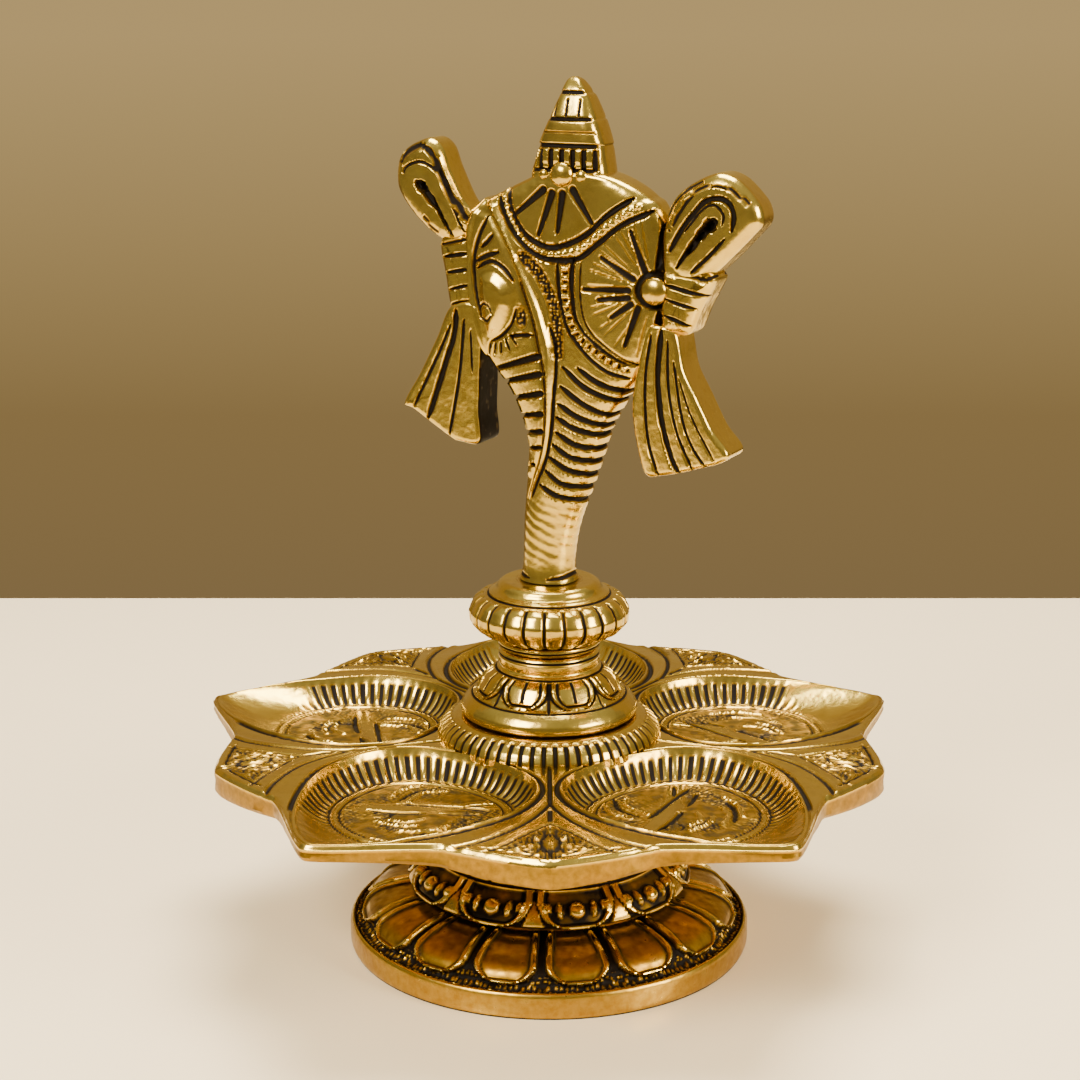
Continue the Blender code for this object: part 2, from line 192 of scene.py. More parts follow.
class Relief:
    """Height in mm, and lacquer from 0 (rubbed gold) to 1 (black), over a grid whose
    places are x and y in mm."""

    def __init__(self, x, y):
        self.x, self.y = x, y
        self.height = np.zeros(x.shape)
        self.lacquer = np.zeros(x.shape)

    def cut(self, share, depth, ink=1.0):
        """Lower the metal by depth where share is 1, and keep lacquer there."""
        self.height -= depth * share
        self.lacquer = np.maximum(self.lacquer, ink * share)

    def lift(self, share, rise, clean=1.0):
        """Raise the metal where share is 1, and rub the lacquer off it."""
        self.height += rise * share
        self.lacquer *= 1 - clean * share

    def groove(self, points, half=0.5, depth=0.45, ink=1.0):
        """A cut along a curve through the points. Its half width falls to 0.45 of itself at
        both ends and wavers by a seventh, as it does under a tool that is driven by hand."""
        line = curve(points)
        length = np.hypot(*np.diff(line, axis=0).T).sum()
        distance, along = follow(self.x, self.y, line, half)
        to_end = np.minimum(along, length - along)
        half = half * (0.45 + 0.55 * smooth((to_end + 0.3) / min(2.2, 0.4 * length)))
        half = half * (0.86 + 0.28 * blotches(self.x / 1.7, self.y / 1.7))
        self.cut(stroke(distance, half), depth, ink)

    def ridge(self, points, half=0.7, rise=0.4, clean=1.0):
        """A raised band of even width along a curve through the points."""
        distance, _ = follow(self.x, self.y, curve(points), half)
        self.lift(stroke(distance, half), rise, clean)

    def beads(self, points, pitch, radius, rise=0.5):
        """Round beads every pitch mm along the line."""
        distance, along = follow(self.x, self.y, curve(points), radius)
        to_bead = np.abs((along / pitch) % 1 - 0.5) * pitch
        away = np.where(np.isfinite(distance), np.hypot(distance, to_bead), np.inf)
        self.lift(np.sqrt(np.clip(1 - (away / radius) ** 2, 0, 1)), rise)

    def matting(self, share, pitch, sink=0.3, rise=0.3, ink=0.95):
        """A black sunk ground with gold grains, where share is 1."""
        self.cut(share, sink, ink)
        grain = grains(self.x / pitch, self.y / pitch) * share
        self.lift(np.clip(grain, 0, 1), rise, 0.85)

    def rings(self, along, places, half, depth):
        """Grooves right round a turned casting, at places along its profile."""
        for place in places:
            self.cut(stroke(along - place, half) + 0 * self.x, depth)

    def stain(self, cover):
        """Leave at least this much lacquer."""
        self.lacquer = np.maximum(self.lacquer, cover)


def dome(across, up, middle, size):
    """A round or oval boss: 1 at its middle and 0 at its edge, as half an ellipsoid."""
    away = ((across - middle[0]) / size[0]) ** 2 + ((up - middle[1]) / size[1]) ** 2
    return np.sqrt(np.clip(1 - away, 0, 1))


def circle(middle, radius, count):
    """Points a radian apart round a circle, which a curve through them closes roughly."""
    return [(middle[0] + radius * math.cos(k), middle[1] + radius * math.sin(k))
            for k in range(count)]


print("tool marks:", [mark for mark in vars(Relief) if not mark.startswith("_")])

# %% [markdown]
# ## From a grid to a closed skin
# A turned casting is a profile carried round the axis, so its grid closes both ways, like
# a ring. A plate or a cup closes round its edge and shuts at a pole on top and one below.
# One function makes both, measures the volume that the skin holds, and turns the faces
# round if that comes out negative, so faces always point outwards. The lacquer goes on
# the mesh as an attribute that the finish reads.

# %% Skin over a grid
def skin(name, points, lacquer, body, stands_for, ring=False, crease=38):
    """Closed mesh over rows x columns of points in mm. Columns always close. Rows close
    if ring is true, and otherwise shut at the mean of the first and the last row."""
    rows, cols = points.shape[:2]
    places, cover = points.reshape(-1, 3) * MM, lacquer.reshape(-1)
    index = np.arange(rows * cols).reshape(rows, cols)
    low, high = (index, np.roll(index, -1, 0)) if ring else (index[:-1], index[1:])
    quads = np.stack([low, np.roll(low, -1, 1), np.roll(high, -1, 1), high], -1).reshape(-1, 4)
    fans = np.zeros((0, 3), int)
    if not ring:
        poles = rows * cols + np.arange(2)
        places = np.vstack([places, points[0].mean(0) * MM, points[-1].mean(0) * MM])
        cover = np.append(cover, [lacquer[0].mean(), lacquer[-1].mean()])
        first = np.stack([np.roll(index[0], -1), index[0], np.full(cols, poles[0])], -1)
        last = np.stack([index[-1], np.roll(index[-1], -1), np.full(cols, poles[1])], -1)
        fans = np.vstack([first, last])
    a, b, c, d = (places[quads[:, k]] for k in range(4))
    volume = np.einsum("ij,ij->", a, np.cross(b, c) + np.cross(c, d))
    if not ring:
        a, b, c = (places[fans[:, k]] for k in range(3))
        volume += np.einsum("ij,ij->", a, np.cross(b, c))
    if volume < 0:
        quads, fans = quads[:, ::-1], fans[:, ::-1]
    corners = np.concatenate([quads.ravel(), fans.ravel()])
    starts = np.concatenate([4 * np.arange(len(quads)), 4 * len(quads) + 3 * np.arange(len(fans))])
    mesh = bpy.data.meshes.new(name)
    mesh.vertices.add(len(places))
    mesh.vertices.foreach_set("co", places.astype(np.float32).ravel())
    mesh.loops.add(len(corners))
    mesh.loops.foreach_set("vertex_index", corners.astype(np.int32))
    mesh.polygons.add(len(starts))
    mesh.polygons.foreach_set("loop_start", starts.astype(np.int32))
    mesh.update(calc_edges=True)
    mesh.attributes.new("lacquer", "FLOAT", "POINT").data.foreach_set(
        "value", np.clip(cover, 0, 1).astype(np.float32))
    mesh.shade_smooth()
    mesh.set_sharp_from_angle(angle=math.radians(crease))
    mesh.materials.append(gold)
    made = bpy.data.objects.new(name, mesh)
    bpy.context.collection.objects.link(made)
    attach(made, body)
    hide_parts(stands_for)
    print(f"{name}: {2 * len(quads) + len(fans):,} triangles, {abs(volume) / 6 * 1e6:.2f} cm³")
    return made


def outward(points, ring):
    """Unit normals of a grid from the cross product of its two directions."""
    around = np.roll(points, -1, 1) - np.roll(points, 1, 1)
    if ring:
        along = np.roll(points, -1, 0) - np.roll(points, 1, 0)
    else:
        along = np.gradient(points, axis=0)
    normal = np.cross(around, along)
    return normal / np.maximum(np.linalg.norm(normal, axis=-1, keepdims=True), 1e-9)


def hollows(height, cells=5):
    """How far each place lies below the mean of its neighbours, in mm."""
    mean = height
    for axis in (0, 1):
        weights = [math.exp(-(k / cells) ** 2 * 2) for k in range(-cells, cells + 1)]
        mean = sum(w * np.roll(mean, k - cells, axis) for k, w in enumerate(weights)) / sum(weights)
    return np.clip(mean - height, 0, None)


print("skin, outward and hollows are ready")

# %% [markdown]
# ## Antique gold plate
# The castings are a yellow metal, gold plated, then brushed with black-brown lacquer and
# rubbed back with a soft wheel. To the eye that is a bright warm mirror on the high
# places, brown where a thin film of lacquer is left, and matt black in the cuts. One
# shader does it: the lacquer attribute, broken up by fine noise as rubbing leaves it,
# mixes gold into film and film into lacquer, and takes the metal value down with it.
# Two bumps carry what is too small for the mesh: the pitted cast skin, under a millimetre
# across, and the slow waves of a few millimetres that filing by hand leaves.

# %% Colours, nodes and the plated finish
def srgb(hex_code):
    """Linear colour of an sRGB hex value: ((c + 0.055) / 1.055) ** 2.4 above 0.04045."""
    values = [int(hex_code[i:i + 2], 16) / 255 for i in (1, 3, 5)]
    linear = [c / 12.92 if c <= 0.04045 else ((c + 0.055) / 1.055) ** 2.4 for c in values]
    return (*linear, 1.0)


def node(tree, kind, links=(), **settings):
    """Add a node. Settings name its properties, or its sockets as in_NUMBER; links are
    (input number or name, output socket of another node)."""
    made = tree.nodes.new(kind)
    for key, value in settings.items():
        if key.startswith("in_"):
            made.inputs[int(key[3:])].default_value = value
        else:
            setattr(made, key, value)
    for socket, source in links:
        tree.links.new(source, made.inputs[socket])
    return made


def new_material(name):
    """An empty material: its node tree and its Principled shader."""
    made = bpy.data.materials.new(name)
    made.use_nodes = True
    return made, made.node_tree, made.node_tree.nodes["Principled BSDF"]


def ramp(tree, source, stops):
    """A colour ramp through (place, hex colour) stops."""
    made = node(tree, "ShaderNodeValToRGB", [(0, source)])
    points = made.color_ramp.elements
    while len(points) < len(stops):
        points.new(0.5)
    for point, (place, colour) in zip(points, stops):
        point.position, point.color = place, srgb(colour)
    return made.outputs[0]


RUBBING, CLOUDS, CAST_SKIN, FILING = 1.6 * MM, 9 * MM, 0.9 * MM, 3.2 * MM


def plated(name, bright, warm):
    """Gold plate under rubbed lacquer; bright and warm are the plate's two shades. With
    film the lacquer attribute plus noise, the gold is bare up to 0.05 and hidden at 0.8."""
    made, tree, shader = new_material(name)
    cover = node(tree, "ShaderNodeAttribute", attribute_name="lacquer").outputs["Fac"]
    where = node(tree, "ShaderNodeTexCoord").outputs["Object"]
    rub = node(tree, "ShaderNodeTexNoise", [(0, where)], in_2=1 / RUBBING, in_3=4.0, in_4=0.62)
    cloud = node(tree, "ShaderNodeTexNoise", [(0, where)], in_2=1 / CLOUDS, in_3=3.0, in_4=0.5)
    broken = node(tree, "ShaderNodeMath", [(0, rub.outputs[0])], operation="MULTIPLY_ADD",
                  in_1=0.34, in_2=-0.17)
    film = node(tree, "ShaderNodeMath", [(0, cover), (1, broken.outputs[0])], operation="ADD",
                use_clamp=True).outputs[0]
    plate = node(tree, "ShaderNodeMix", [(0, cloud.outputs[0])], data_type="RGBA",
                 in_6=srgb(bright), in_7=srgb(warm)).outputs[2]
    tint = ramp(tree, film, [(0.0, "#FFFFFF"), (0.3, "#C6B07A"), (0.55, "#6C6040"),
                             (0.78, "#140E07")])
    colour = node(tree, "ShaderNodeMix", [(6, plate), (7, tint)], data_type="RGBA",
                  blend_type="MULTIPLY", in_0=1.0).outputs[2]
    metal = node(tree, "ShaderNodeMapRange", [(0, film)], in_1=0.5, in_2=0.8, in_3=1.0, in_4=0.0)
    sheen = node(tree, "ShaderNodeMapRange", [(0, film)], in_1=0.3, in_2=0.8, in_3=0.5, in_4=0.12)
    dull = node(tree, "ShaderNodeMapRange", [(0, film)], in_1=0.05, in_2=0.8, in_3=0.2, in_4=0.62)
    skin_noise = node(tree, "ShaderNodeTexNoise", [(0, where)], in_2=1 / CAST_SKIN, in_3=3.0)
    cast = node(tree, "ShaderNodeBump", [("Height", skin_noise.outputs[0])], in_0=0.35,
                in_1=0.05 * MM)
    slow = node(tree, "ShaderNodeTexNoise", [(0, where)], in_2=1 / FILING, in_3=2.0)
    wavy = node(tree, "ShaderNodeBump", [("Height", slow.outputs[0]), ("Normal", cast.outputs[0])],
                in_0=0.8, in_1=0.16 * MM)
    for socket, source in (("Base Color", colour), ("Metallic", metal.outputs[0]),
                           ("Specular IOR Level", sheen.outputs[0]),
                           ("Roughness", dull.outputs[0]), ("Normal", wavy.outputs[0])):
        tree.links.new(source, shader.inputs[socket])
    return made


gold = plated("antique_gold_plate_over_cast_metal", "#DAC058", "#C4A044")
print("finish:", gold.name, len(gold.node_tree.nodes), "nodes")

# %% [markdown]
# ## Zinc-plated fixings
# The rod, nut and washers are bought steel parts with a thin bright zinc plate. Zinc
# looks grey and slightly blue, with a faint spangle a millimetre or so across, and it
# is duller than polished steel. They are hidden under the foot, and their packed shapes
# are already right, so the nodes stay and only take a new finish.

# %% Zinc plate on the rod, nut and washers
def zinc_plate():
    """Blue-grey metal whose spangle changes its roughness and shade a little."""
    made, tree, shader = new_material("bright_zinc_plate_on_steel")
    where = node(tree, "ShaderNodeTexCoord").outputs["Object"]
    spangle = node(tree, "ShaderNodeTexVoronoi", [(0, where)], in_2=1 / (1.2 * MM))
    shade = ramp(tree, spangle.outputs["Color"], [(0.0, "#A9ADB0"), (1.0, "#C4C9CE")])
    tree.links.new(shade, shader.inputs["Base Color"])
    rough = node(tree, "ShaderNodeMapRange", [(0, spangle.outputs["Color"])], in_3=0.28, in_4=0.42)
    tree.links.new(rough.outputs[0], shader.inputs["Roughness"])
    shader.inputs["Metallic"].default_value = 1
    return made


zinc = zinc_plate()
for fixing in ("tie_rod", "foot_nut", "spring_washer", "flat_washer"):
    piece = frame["nodes"][fixing]
    piece.data.materials.clear()
    piece.data.materials.append(zinc)
print("zinc plate on", [n for n in frame["nodes"] if frame["nodes"][n].data.materials[0] == zinc])

# %% [markdown]
# ## Turned castings
# The foot, calyx, bell, knop and collar began as turned patterns, then were carved. Their
# shape is a profile of radius and height carried round the axis. The side that shows is
# walked in quarter-millimetre steps, because it carries relief, and the bore and the
# hollow, which nobody sees, in long ones. Corners are eased by averaging the walked
# profile with itself over a fraction of a millimetre, as casting and polishing do.

# %% A turned grid, and the piece made from it
def walk(points, step):
    """Points every step mm along straight runs."""
    p = np.asarray(points, float)
    run = np.append(0, np.cumsum(np.linalg.norm(np.diff(p, axis=0), axis=1)))
    places = np.linspace(0, run[-1], max(2, int(round(run[-1] / step)) + 1))
    return np.stack([np.interp(places, run, k) for k in p.T], -1), places


def eased(points, cells):
    """The walked profile averaged with its neighbours, with its two ends held."""
    weights = np.exp(-2 * (np.arange(-cells, cells + 1) / cells) ** 2)
    padded = np.vstack([2 * points[0] - points[cells:0:-1], points,
                        2 * points[-1] - points[-2:-cells - 2:-1]])
    weights /= weights.sum()
    return np.stack([np.convolve(k, weights, "valid") for k in padded.T], -1)


def turned(name, shown, hidden, columns, carve, stands_for, step=0.25, ease=2):
    """Profile carried round +Z. carve(theta, along, radius) returns the relief of the side
    that shows, where along is mm along the profile; the hidden side stays plain."""
    front, along = walk(shown, step)
    front = eased(front, ease)
    back, _ = walk([shown[-1]] + hidden + [shown[0]], 1.5)
    profile = np.vstack([front, back[1:-1]])
    theta = np.linspace(0, FULL_TURN, columns, endpoint=False)[None, :]
    radius, level = profile[:, :1], profile[:, 1:]
    grid = np.stack(np.broadcast_arrays(radius * np.cos(theta), radius * np.sin(theta), level), -1)
    relief = carve(theta, along[:, None], front[:, :1])
    height, lacquer = np.zeros(grid.shape[:2]), np.full(grid.shape[:2], 0.5)
    height[:len(front)], lacquer[:len(front)] = relief.height, relief.lacquer
    lacquer += 1.6 * hollows(height)
    normal = outward(grid, ring=True)
    away = np.einsum("ijk,ijk->ij", normal, grid - grid.mean((0, 1)))
    normal *= 1 if np.mean(away) > 0 else -1
    return skin(name, grid + normal * height[..., None], lacquer, "stand", stands_for, ring=True)


FRONT = -math.pi / 2


def repeated(theta, radius, count, turn=0.0):
    """mm across from the middle of the nearest of count petals, and half a petal's width in
    mm. One petal's middle lies turn degrees anticlockwise from the front."""
    pitch = FULL_TURN / count
    offset = (theta - (FRONT + math.radians(turn)) + pitch / 2) % pitch - pitch / 2
    return offset * radius, pitch / 2 * radius


def within_petal(across, up, broad, length, power, slope, start):
    """mm inside a petal with a round tip. Its half width at up is broad times the square
    root of 1 - (1 - up / length) ** power, and across its tip the distance grows by slope."""
    reach = broad * (1 - (1 - np.clip(up / length, 0, 1)) ** power) ** 0.5
    return np.minimum(reach - np.abs(across), up * slope + start)


print("turned castings face", round(math.degrees(FRONT)), "degrees to the front")

# %% [markdown]
# ## Lotus foot
# The foot is the seat of a lotus: a plain polished band at the table, a narrow matted
# ledge, and sixteen petals lying outwards with their round tips on the ledge. A petal's
# edge is a superellipse in the petal's own width and length. The distance inside that
# edge gives everything else: outside it the ground is cut a millimetre down and matted,
# just inside it runs a polished rim, and within the rim the petal is slightly hollow.

# %% Lotus foot
FOOT_PETALS = 16
LEDGE_AT, TIPS_AT, TIP_LENGTH = 5.9, 8.1, 5.0  # mm along the profile
GRAINS_ROUND, CLOUDS_ROUND = 230, 190


def lotus_relief(theta, along, radius):
    """Sixteen round-tipped petals on a matted ledge."""
    across, half = repeated(theta, radius, FOOT_PETALS, 8.65)
    up = along - TIPS_AT + 0 * across
    relief = Relief(across, up)
    within = within_petal(across, up, half - 0.7, TIP_LENGTH, 2.5, 1.4, 0.2)
    zone = smooth((along - LEDGE_AT) / 0.4)
    ground = smooth(-within / 0.5 + 0.6) * zone
    relief.cut(ground, 1.0)
    matted = grains(theta / FULL_TURN * GRAINS_ROUND, along / 1.05, GRAINS_ROUND)
    beads = np.clip(matted, 0, 1) * ground
    relief.lift(beads * smooth((3.0 - up) / 2), 0.45, 0.9)
    relief.lift(stroke(within - 0.75, 0.8) * zone, 0.32, 0.0)
    panel = smooth((within - 1.35) / 0.5) * zone
    relief.cut(panel, 0.25, 0.22)
    cloud = blotches(theta / FULL_TURN * CLOUDS_ROUND, along / 1.3, CLOUDS_ROUND)
    relief.stain(panel * (0.16 + 0.26 * cloud))
    relief.cut(stroke(within - 1.5, 0.35) * zone, 0.1, 0.6)
    relief.stain(0.8 * stroke(along, 0.5) + 0.24 * (along < 5.6))
    return relief


turned("lotus_foot_casting",
       [(41.1, 0), (41.5, 0.5), (41.5, 4.7), (41.1, 5.4), (40.3, 5.7), (38.9, 5.7), (38.6, 6.7),
        (37.9, 8.0), (36.5, 9.2), (34.2, 10.3), (31, 11.2), (27.5, 11.8), (24, 12.1)],
       [(2.8, 12), (2.8, 9.6), (27, 9.6), (34, 7.6), (37.6, 4.6), (38.4, 0)],
       680, lotus_relief, "lotus_foot", step=0.27, ease=4)

# %% [markdown]
# ## Beaded calyx
# Above the foot, ten broad petals hang over it like a cuff. Each has a thick rolled rim,
# and in the black field inside it one round boss between upright and round beads. The
# casting then draws in to a waist and opens again under the tray. It hides the rod, and
# it stands in the tray's shade, so its cuts are deep and few.

# %% Beaded calyx
CALYX_PETALS, WAIST_FLUTES = 10, 30
CUFF_FROM, CUFF_TO, CUFF_TIPS_AT, CUFF_TIP = 3.4, 14.6, 5.7, 4.2  # mm along the profile
WAIST_FROM, WAIST_TO = 14.8, 28.6


def calyx_relief(theta, along, radius):
    """Ten rolled petals with beads, a fluted waist and ten leaves under the tray."""
    across, half = repeated(theta, radius, CALYX_PETALS, 11.5)
    up = along - CUFF_TIPS_AT + 0 * across
    relief = Relief(across, up)
    broad = half - 0.3 - 0.42 * np.clip(6 - up, 0, 6)
    within = within_petal(across, up, broad, CUFF_TIP, 3.0, 1.5, 0.2)
    zone = between(along, CUFF_FROM, CUFF_TO, 0.6, 0.8)
    relief.cut(smooth(-within / 0.5 + 0.5) * zone, 1.1)
    field = smooth((within - 1.5) / 0.45) * zone
    cloud = blotches(theta / FULL_TURN * 61, along / 2.2, 61)
    relief.cut(field, 0.6, 0.3)
    relief.stain(field * (0.3 + 0.45 * cloud))
    relief.cut(stroke(within - 1.85, 0.6) * zone, 0.25)
    for middle, size, rise in (((0, 4.2), (1.75, 1.9), 1.25), ((3.5, 4.3), (0.75, 1.9), 1.0),
                               ((5.9, 4.8), (1.0, 1.3), 0.9)):
        relief.lift(dome(np.abs(across), up, middle, size) * zone, rise)
    beside, _ = repeated(theta, radius, CALYX_PETALS, 29.5)
    leaf = smooth((2.6 - np.abs(beside) - 0.42 * (up - 1.0)) / 0.6) * smooth((up - 0.2) / 0.5)
    relief.lift(leaf * (within < 0) * zone, 0.9, 0.8)
    waist = between(along, WAIST_FROM, WAIST_TO, 0.6, 0.8)
    flute, half_flute = repeated(theta, radius, WAIST_FLUTES)
    relief.cut(waist * stroke(np.abs(flute) - half_flute, 0.55), 0.5)
    relief.rings(along, (14.7, 28.9, 31.2), 0.45, 0.35)
    leaves, half = repeated(theta, radius, CALYX_PETALS)
    tip = half * np.clip((39.6 - along) / 5.5, 0, 1) ** 0.6
    relief.cut(stroke(tip - 0.4 - np.abs(leaves), 0.5) * smooth((along - 31.6) / 0.5), 0.4)
    return relief


turned("calyx_casting",
       [(24, 12.3), (28.5, 12.4), (29.5, 13.4), (29.4, 14.6), (28.2, 16.6), (24.6, 19.6),
        (20, 24), (14.8, 28), (13.2, 30.2), (14.6, 33.2), (20, 36.4), (20, 37.4), (12, 37.4)],
       [(2.8, 37.4), (2.8, 35), (12, 34.8), (10.8, 30), (16.6, 24), (21.5, 17), (21.5, 12.3)],
       500, calyx_relief, "calyx", step=0.31)

# %% [markdown]
# ## Bell
# A small bell stands on the tray's collar: a round polished flange, eight hanging petals
# and a plain neck ring. Each petal is drawn three times, one outline inside another, as
# a carver does with a V tool. Since the distance inside the petal's edge is known at
# every place, each of those lines is only a band of that distance.

# %% Bell
BELL_PETALS = 8
SKIRT_FROM, SKIRT_TO, SKIRT_TIPS_AT, SKIRT_TIP = 6.7, 13.8, 7.2, 4.6  # mm along the profile


def bell_relief(theta, along, radius):
    """Flange, eight hanging petals with nested outlines, and a neck ring."""
    across, half = repeated(theta, radius, BELL_PETALS, 22)
    up = along - SKIRT_TIPS_AT + 0 * across
    relief = Relief(across, up)
    broad = half - 0.1
    within = within_petal(across, up, broad, SKIRT_TIP, 2.2, 1.3, 0.3)
    zone = between(along, SKIRT_FROM, SKIRT_TO, 0.4, 0.5)
    gap = smooth((0.35 - np.abs(across - np.sign(across) * broad)) / 0.3)
    relief.cut(gap * zone, 0.4)
    relief.cut(stroke(within - 0.1, 0.42) * zone * (up > -0.2), 0.45)
    relief.lift(stroke(within - 0.85, 0.5) * zone, 0.22, 0.8)
    relief.cut(stroke(within - 1.6, 0.42) * zone, 0.4)
    relief.cut(smooth((within - 2.2) / 0.3) * stroke(across, 0.5) * zone, 0.3)
    relief.rings(along, (0.3, 6.6, 14.0, 17.6), 0.4, 0.3)
    return relief


turned("bell_casting",
       [(16.2, 49.3), (17.7, 49.3), (18.1, 50.0), (17.9, 51.2), (17.1, 52.4), (15.8, 53.5),
        (14.9, 54.0), (14.6, 54.6), (12.8, 57.4), (10.6, 59.0), (10.0, 59.5), (10.3, 60.0),
        (10.3, 62.3), (9.7, 62.9), (8, 62.9)],
       [(2.8, 62.9), (2.8, 60.3), (7.6, 60.3), (11.5, 55), (15.2, 49.3)],
       480, bell_relief, "bell", step=0.24)

# %% [markdown]
# ## Fluted knop
# The knop is a round bead between two rings, cut down its sides by twenty-four flutes
# that leave soft lobes. The lacquer in the flutes is worn unevenly by handling, and slow
# random blotches around the bead decide how much of it is left in each.

# %% Fluted knop
KNOP_FLUTES = 24
BELLY_FROM, BELLY_TO = 6.9, 19.6  # mm along the profile
PATCHES_ROUND = 9


def knop_relief(theta, along, radius):
    """Twenty-four lobes parted by dark flutes, between ring grooves."""
    across, half = repeated(theta, radius, KNOP_FLUTES, 3.5)
    relief = Relief(across, along + 0 * across)
    belly = between(along, BELLY_FROM, BELLY_TO, 0.8)
    patches = blotches(theta / FULL_TURN * PATCHES_ROUND, along / 5, PATCHES_ROUND)
    worn = 0.35 + 0.65 * smooth(2.4 * patches - 0.35)
    relief.height += 0.42 * belly * np.sqrt(np.clip(1 - (across / half) ** 2, 0, 1))
    relief.cut(stroke(np.abs(across) - half, 0.48) * belly, 0.3, worn)
    relief.rings(along, (4.95, 6.45, 20.35), 0.42, 0.35)
    return relief


turned("knop_casting",
       [(6, 63.2), (10.2, 63.2), (10.5, 63.8), (10.5, 64.5), (10.0, 65.0), (10.9, 65.6),
        (14.3, 67.3), (15.8, 69.0), (15.9, 70.8), (14.9, 72.8), (11.9, 74.8), (11.0, 75.1),
        (10.6, 75.6), (10.3, 76.4), (9.4, 77), (7, 77)],
       [(2.8, 77), (2.8, 74), (9, 71.6), (9, 68.4), (2.8, 66.2), (2.8, 63.2)],
       480, knop_relief, "knop", step=0.24)

# %% [markdown]
# ## The tray's ribbed collar
# The tray rises in the middle to a collar that carries the bell. Sixty ribs run down its
# slope, cut deep enough to print black. On the real lamp it is one casting with the
# tray. Here it is a turned grid of its own, because the ribs follow the axis while the
# rest of the tray follows its five cups, and both then stand for the same packed node.

# %% Ribbed collar
COLLAR_RIBS = 60
RIBS_FROM, RIBS_TO = 7.3, 13.4  # mm along the profile


def collar_relief(theta, along, radius):
    """Sixty ribs over the shoulder and a dark line at the foot."""
    across, half = repeated(theta, radius, COLLAR_RIBS)
    relief = Relief(across, along + 0 * across)
    slope = between(along, RIBS_FROM, RIBS_TO, 0.5)
    relief.cut(slope * stroke(np.abs(across) - half, 0.62), 0.6)
    relief.rings(along, (6.6,), 0.6, 0.4)
    return relief


turned("tray_collar",
       [(20, 37.7), (22.2, 39.5), (22.9, 42), (22.9, 44.4), (22.9, 45.4), (22.2, 46.9),
        (20.8, 48.1), (18.9, 48.9), (15.6, 49)],
       [(17.4, 46), (15, 40.5), (2.8, 40.5), (2.8, 37.7)],
       720, collar_relief, "diya_tray", step=0.28)

# %% [markdown]
# ## The tray's five petals
# The tray is one casting with five equal petals, and each petal holds a teardrop cup whose
# spout runs out to a point for the wick. A single grid over the whole tray would waste
# most of its points, so each petal is a grid of its own: rays from a place in the cup
# out to the petal's border, with as many rays per millimetre of cup edge all the way
# round. Neighbours meet on the leaf's middle line, where both have the same height, so the
# join can't be seen. The cell below holds the plan: the cup's edge and floor, and the rim.

# %% Plan of one petal
CUPS = 5
SECTOR = FULL_TURN / CUPS
RIM_TOP, DECK_CROWN = 44.3, 0.6
CUP_FLOOR, WALL = 39.9, 1.7
CUP_MIDDLE = 41.0
UNDER_COLLAR = 21.0
NOTCH, RIM_AT_NOTCH, SPOUT_OUT, LEAF_OUT = math.radians(18.5), 64.6, 12.1, 5.0
EDGE_SIDE = [(22.9, 5.8), (24.4, 12.0), (27.2, 16.5), (31.4, 19.6), (36.5, 21.3), (42, 21.8),
             (47.5, 21.0), (52.5, 19.2), (57.2, 16.8), (61.5, 14.1), (65.3, 11.2), (68.8, 7.9),
             (71.9, 4.3)]
FLOOR_SIDE = [(26.4, 5.2), (28.2, 10.6), (31.6, 14.6), (36.5, 16.9), (42, 17.4), (47.5, 16.6),
              (52.5, 14.2), (56.6, 10.2), (59.1, 5.2)]


def mirrored_loop(near, side, far, parts):
    """Closed curve that is the same on both sides of the spout's line."""
    right = [(s, -w) for s, w in side]
    return curve([(near, 0)] + right + [(far, 0)] + side[::-1], True, parts)


def rim_reach(angle):
    """Axis to rim. Angle is from the spout: the spout and the leaf stand out from the notch
    between them, each falling as a power of the share of the way. Their points are rounded
    by taking the angle as the long side of a triangle whose short side is a degree."""
    to_spout = np.hypot(angle, math.radians(0.9))
    to_leaf = np.hypot(SECTOR / 2 - np.abs(angle), math.radians(1.2))
    spout = RIM_AT_NOTCH + SPOUT_OUT * np.clip(1 - to_spout / NOTCH, 0, 1) ** 1.45
    leaf = RIM_AT_NOTCH + LEAF_OUT * np.clip(1 - to_leaf / (SECTOR / 2 - NOTCH), 0, 1) ** 1.2
    return np.where(np.abs(angle) < NOTCH, spout, leaf)


def border(turn):
    """How far a ray from the cup's middle runs to the petal's border, and whether it ends
    on the rim. The border is the rim, the two leaf lines and a circle under the collar. The
    rim has no simple inverse, so halving the gap 40 times finds it."""
    c, s = np.cos(turn), np.sin(turn)
    slope = math.tan(SECTOR / 2)
    to_line = CUP_MIDDLE * slope / np.maximum(np.abs(s) - slope * c, 1e-6)
    low, high = np.zeros_like(turn), np.full_like(turn, 50.0)
    for _ in range(40):
        middle = (low + high) / 2
        x, y = CUP_MIDDLE + middle * c, middle * s
        short = np.hypot(x, y) < rim_reach(np.arctan2(y, x))
        low, high = np.where(short, middle, low), np.where(short, high, middle)
    root = (CUP_MIDDLE * c) ** 2 - CUP_MIDDLE ** 2 + UNDER_COLLAR ** 2
    to_circle = np.where((root > 0) & (c < 0), -CUP_MIDDLE * c - np.sqrt(np.abs(root)), 1e6)
    reach = np.minimum(np.minimum(to_line, to_circle), high)
    return reach, high - reach < 0.02


cup_edge = mirrored_loop(22.3, EDGE_SIDE, 74.0, 10)
cup_floor = mirrored_loop(25.8, FLOOR_SIDE, 59.9, 8)
edge_length = np.hypot(*np.diff(cup_edge, axis=0).T).sum()
print(f"cup edge {edge_length:.1f} mm round, tip {float(rim_reach(0.0)):.1f} mm out")

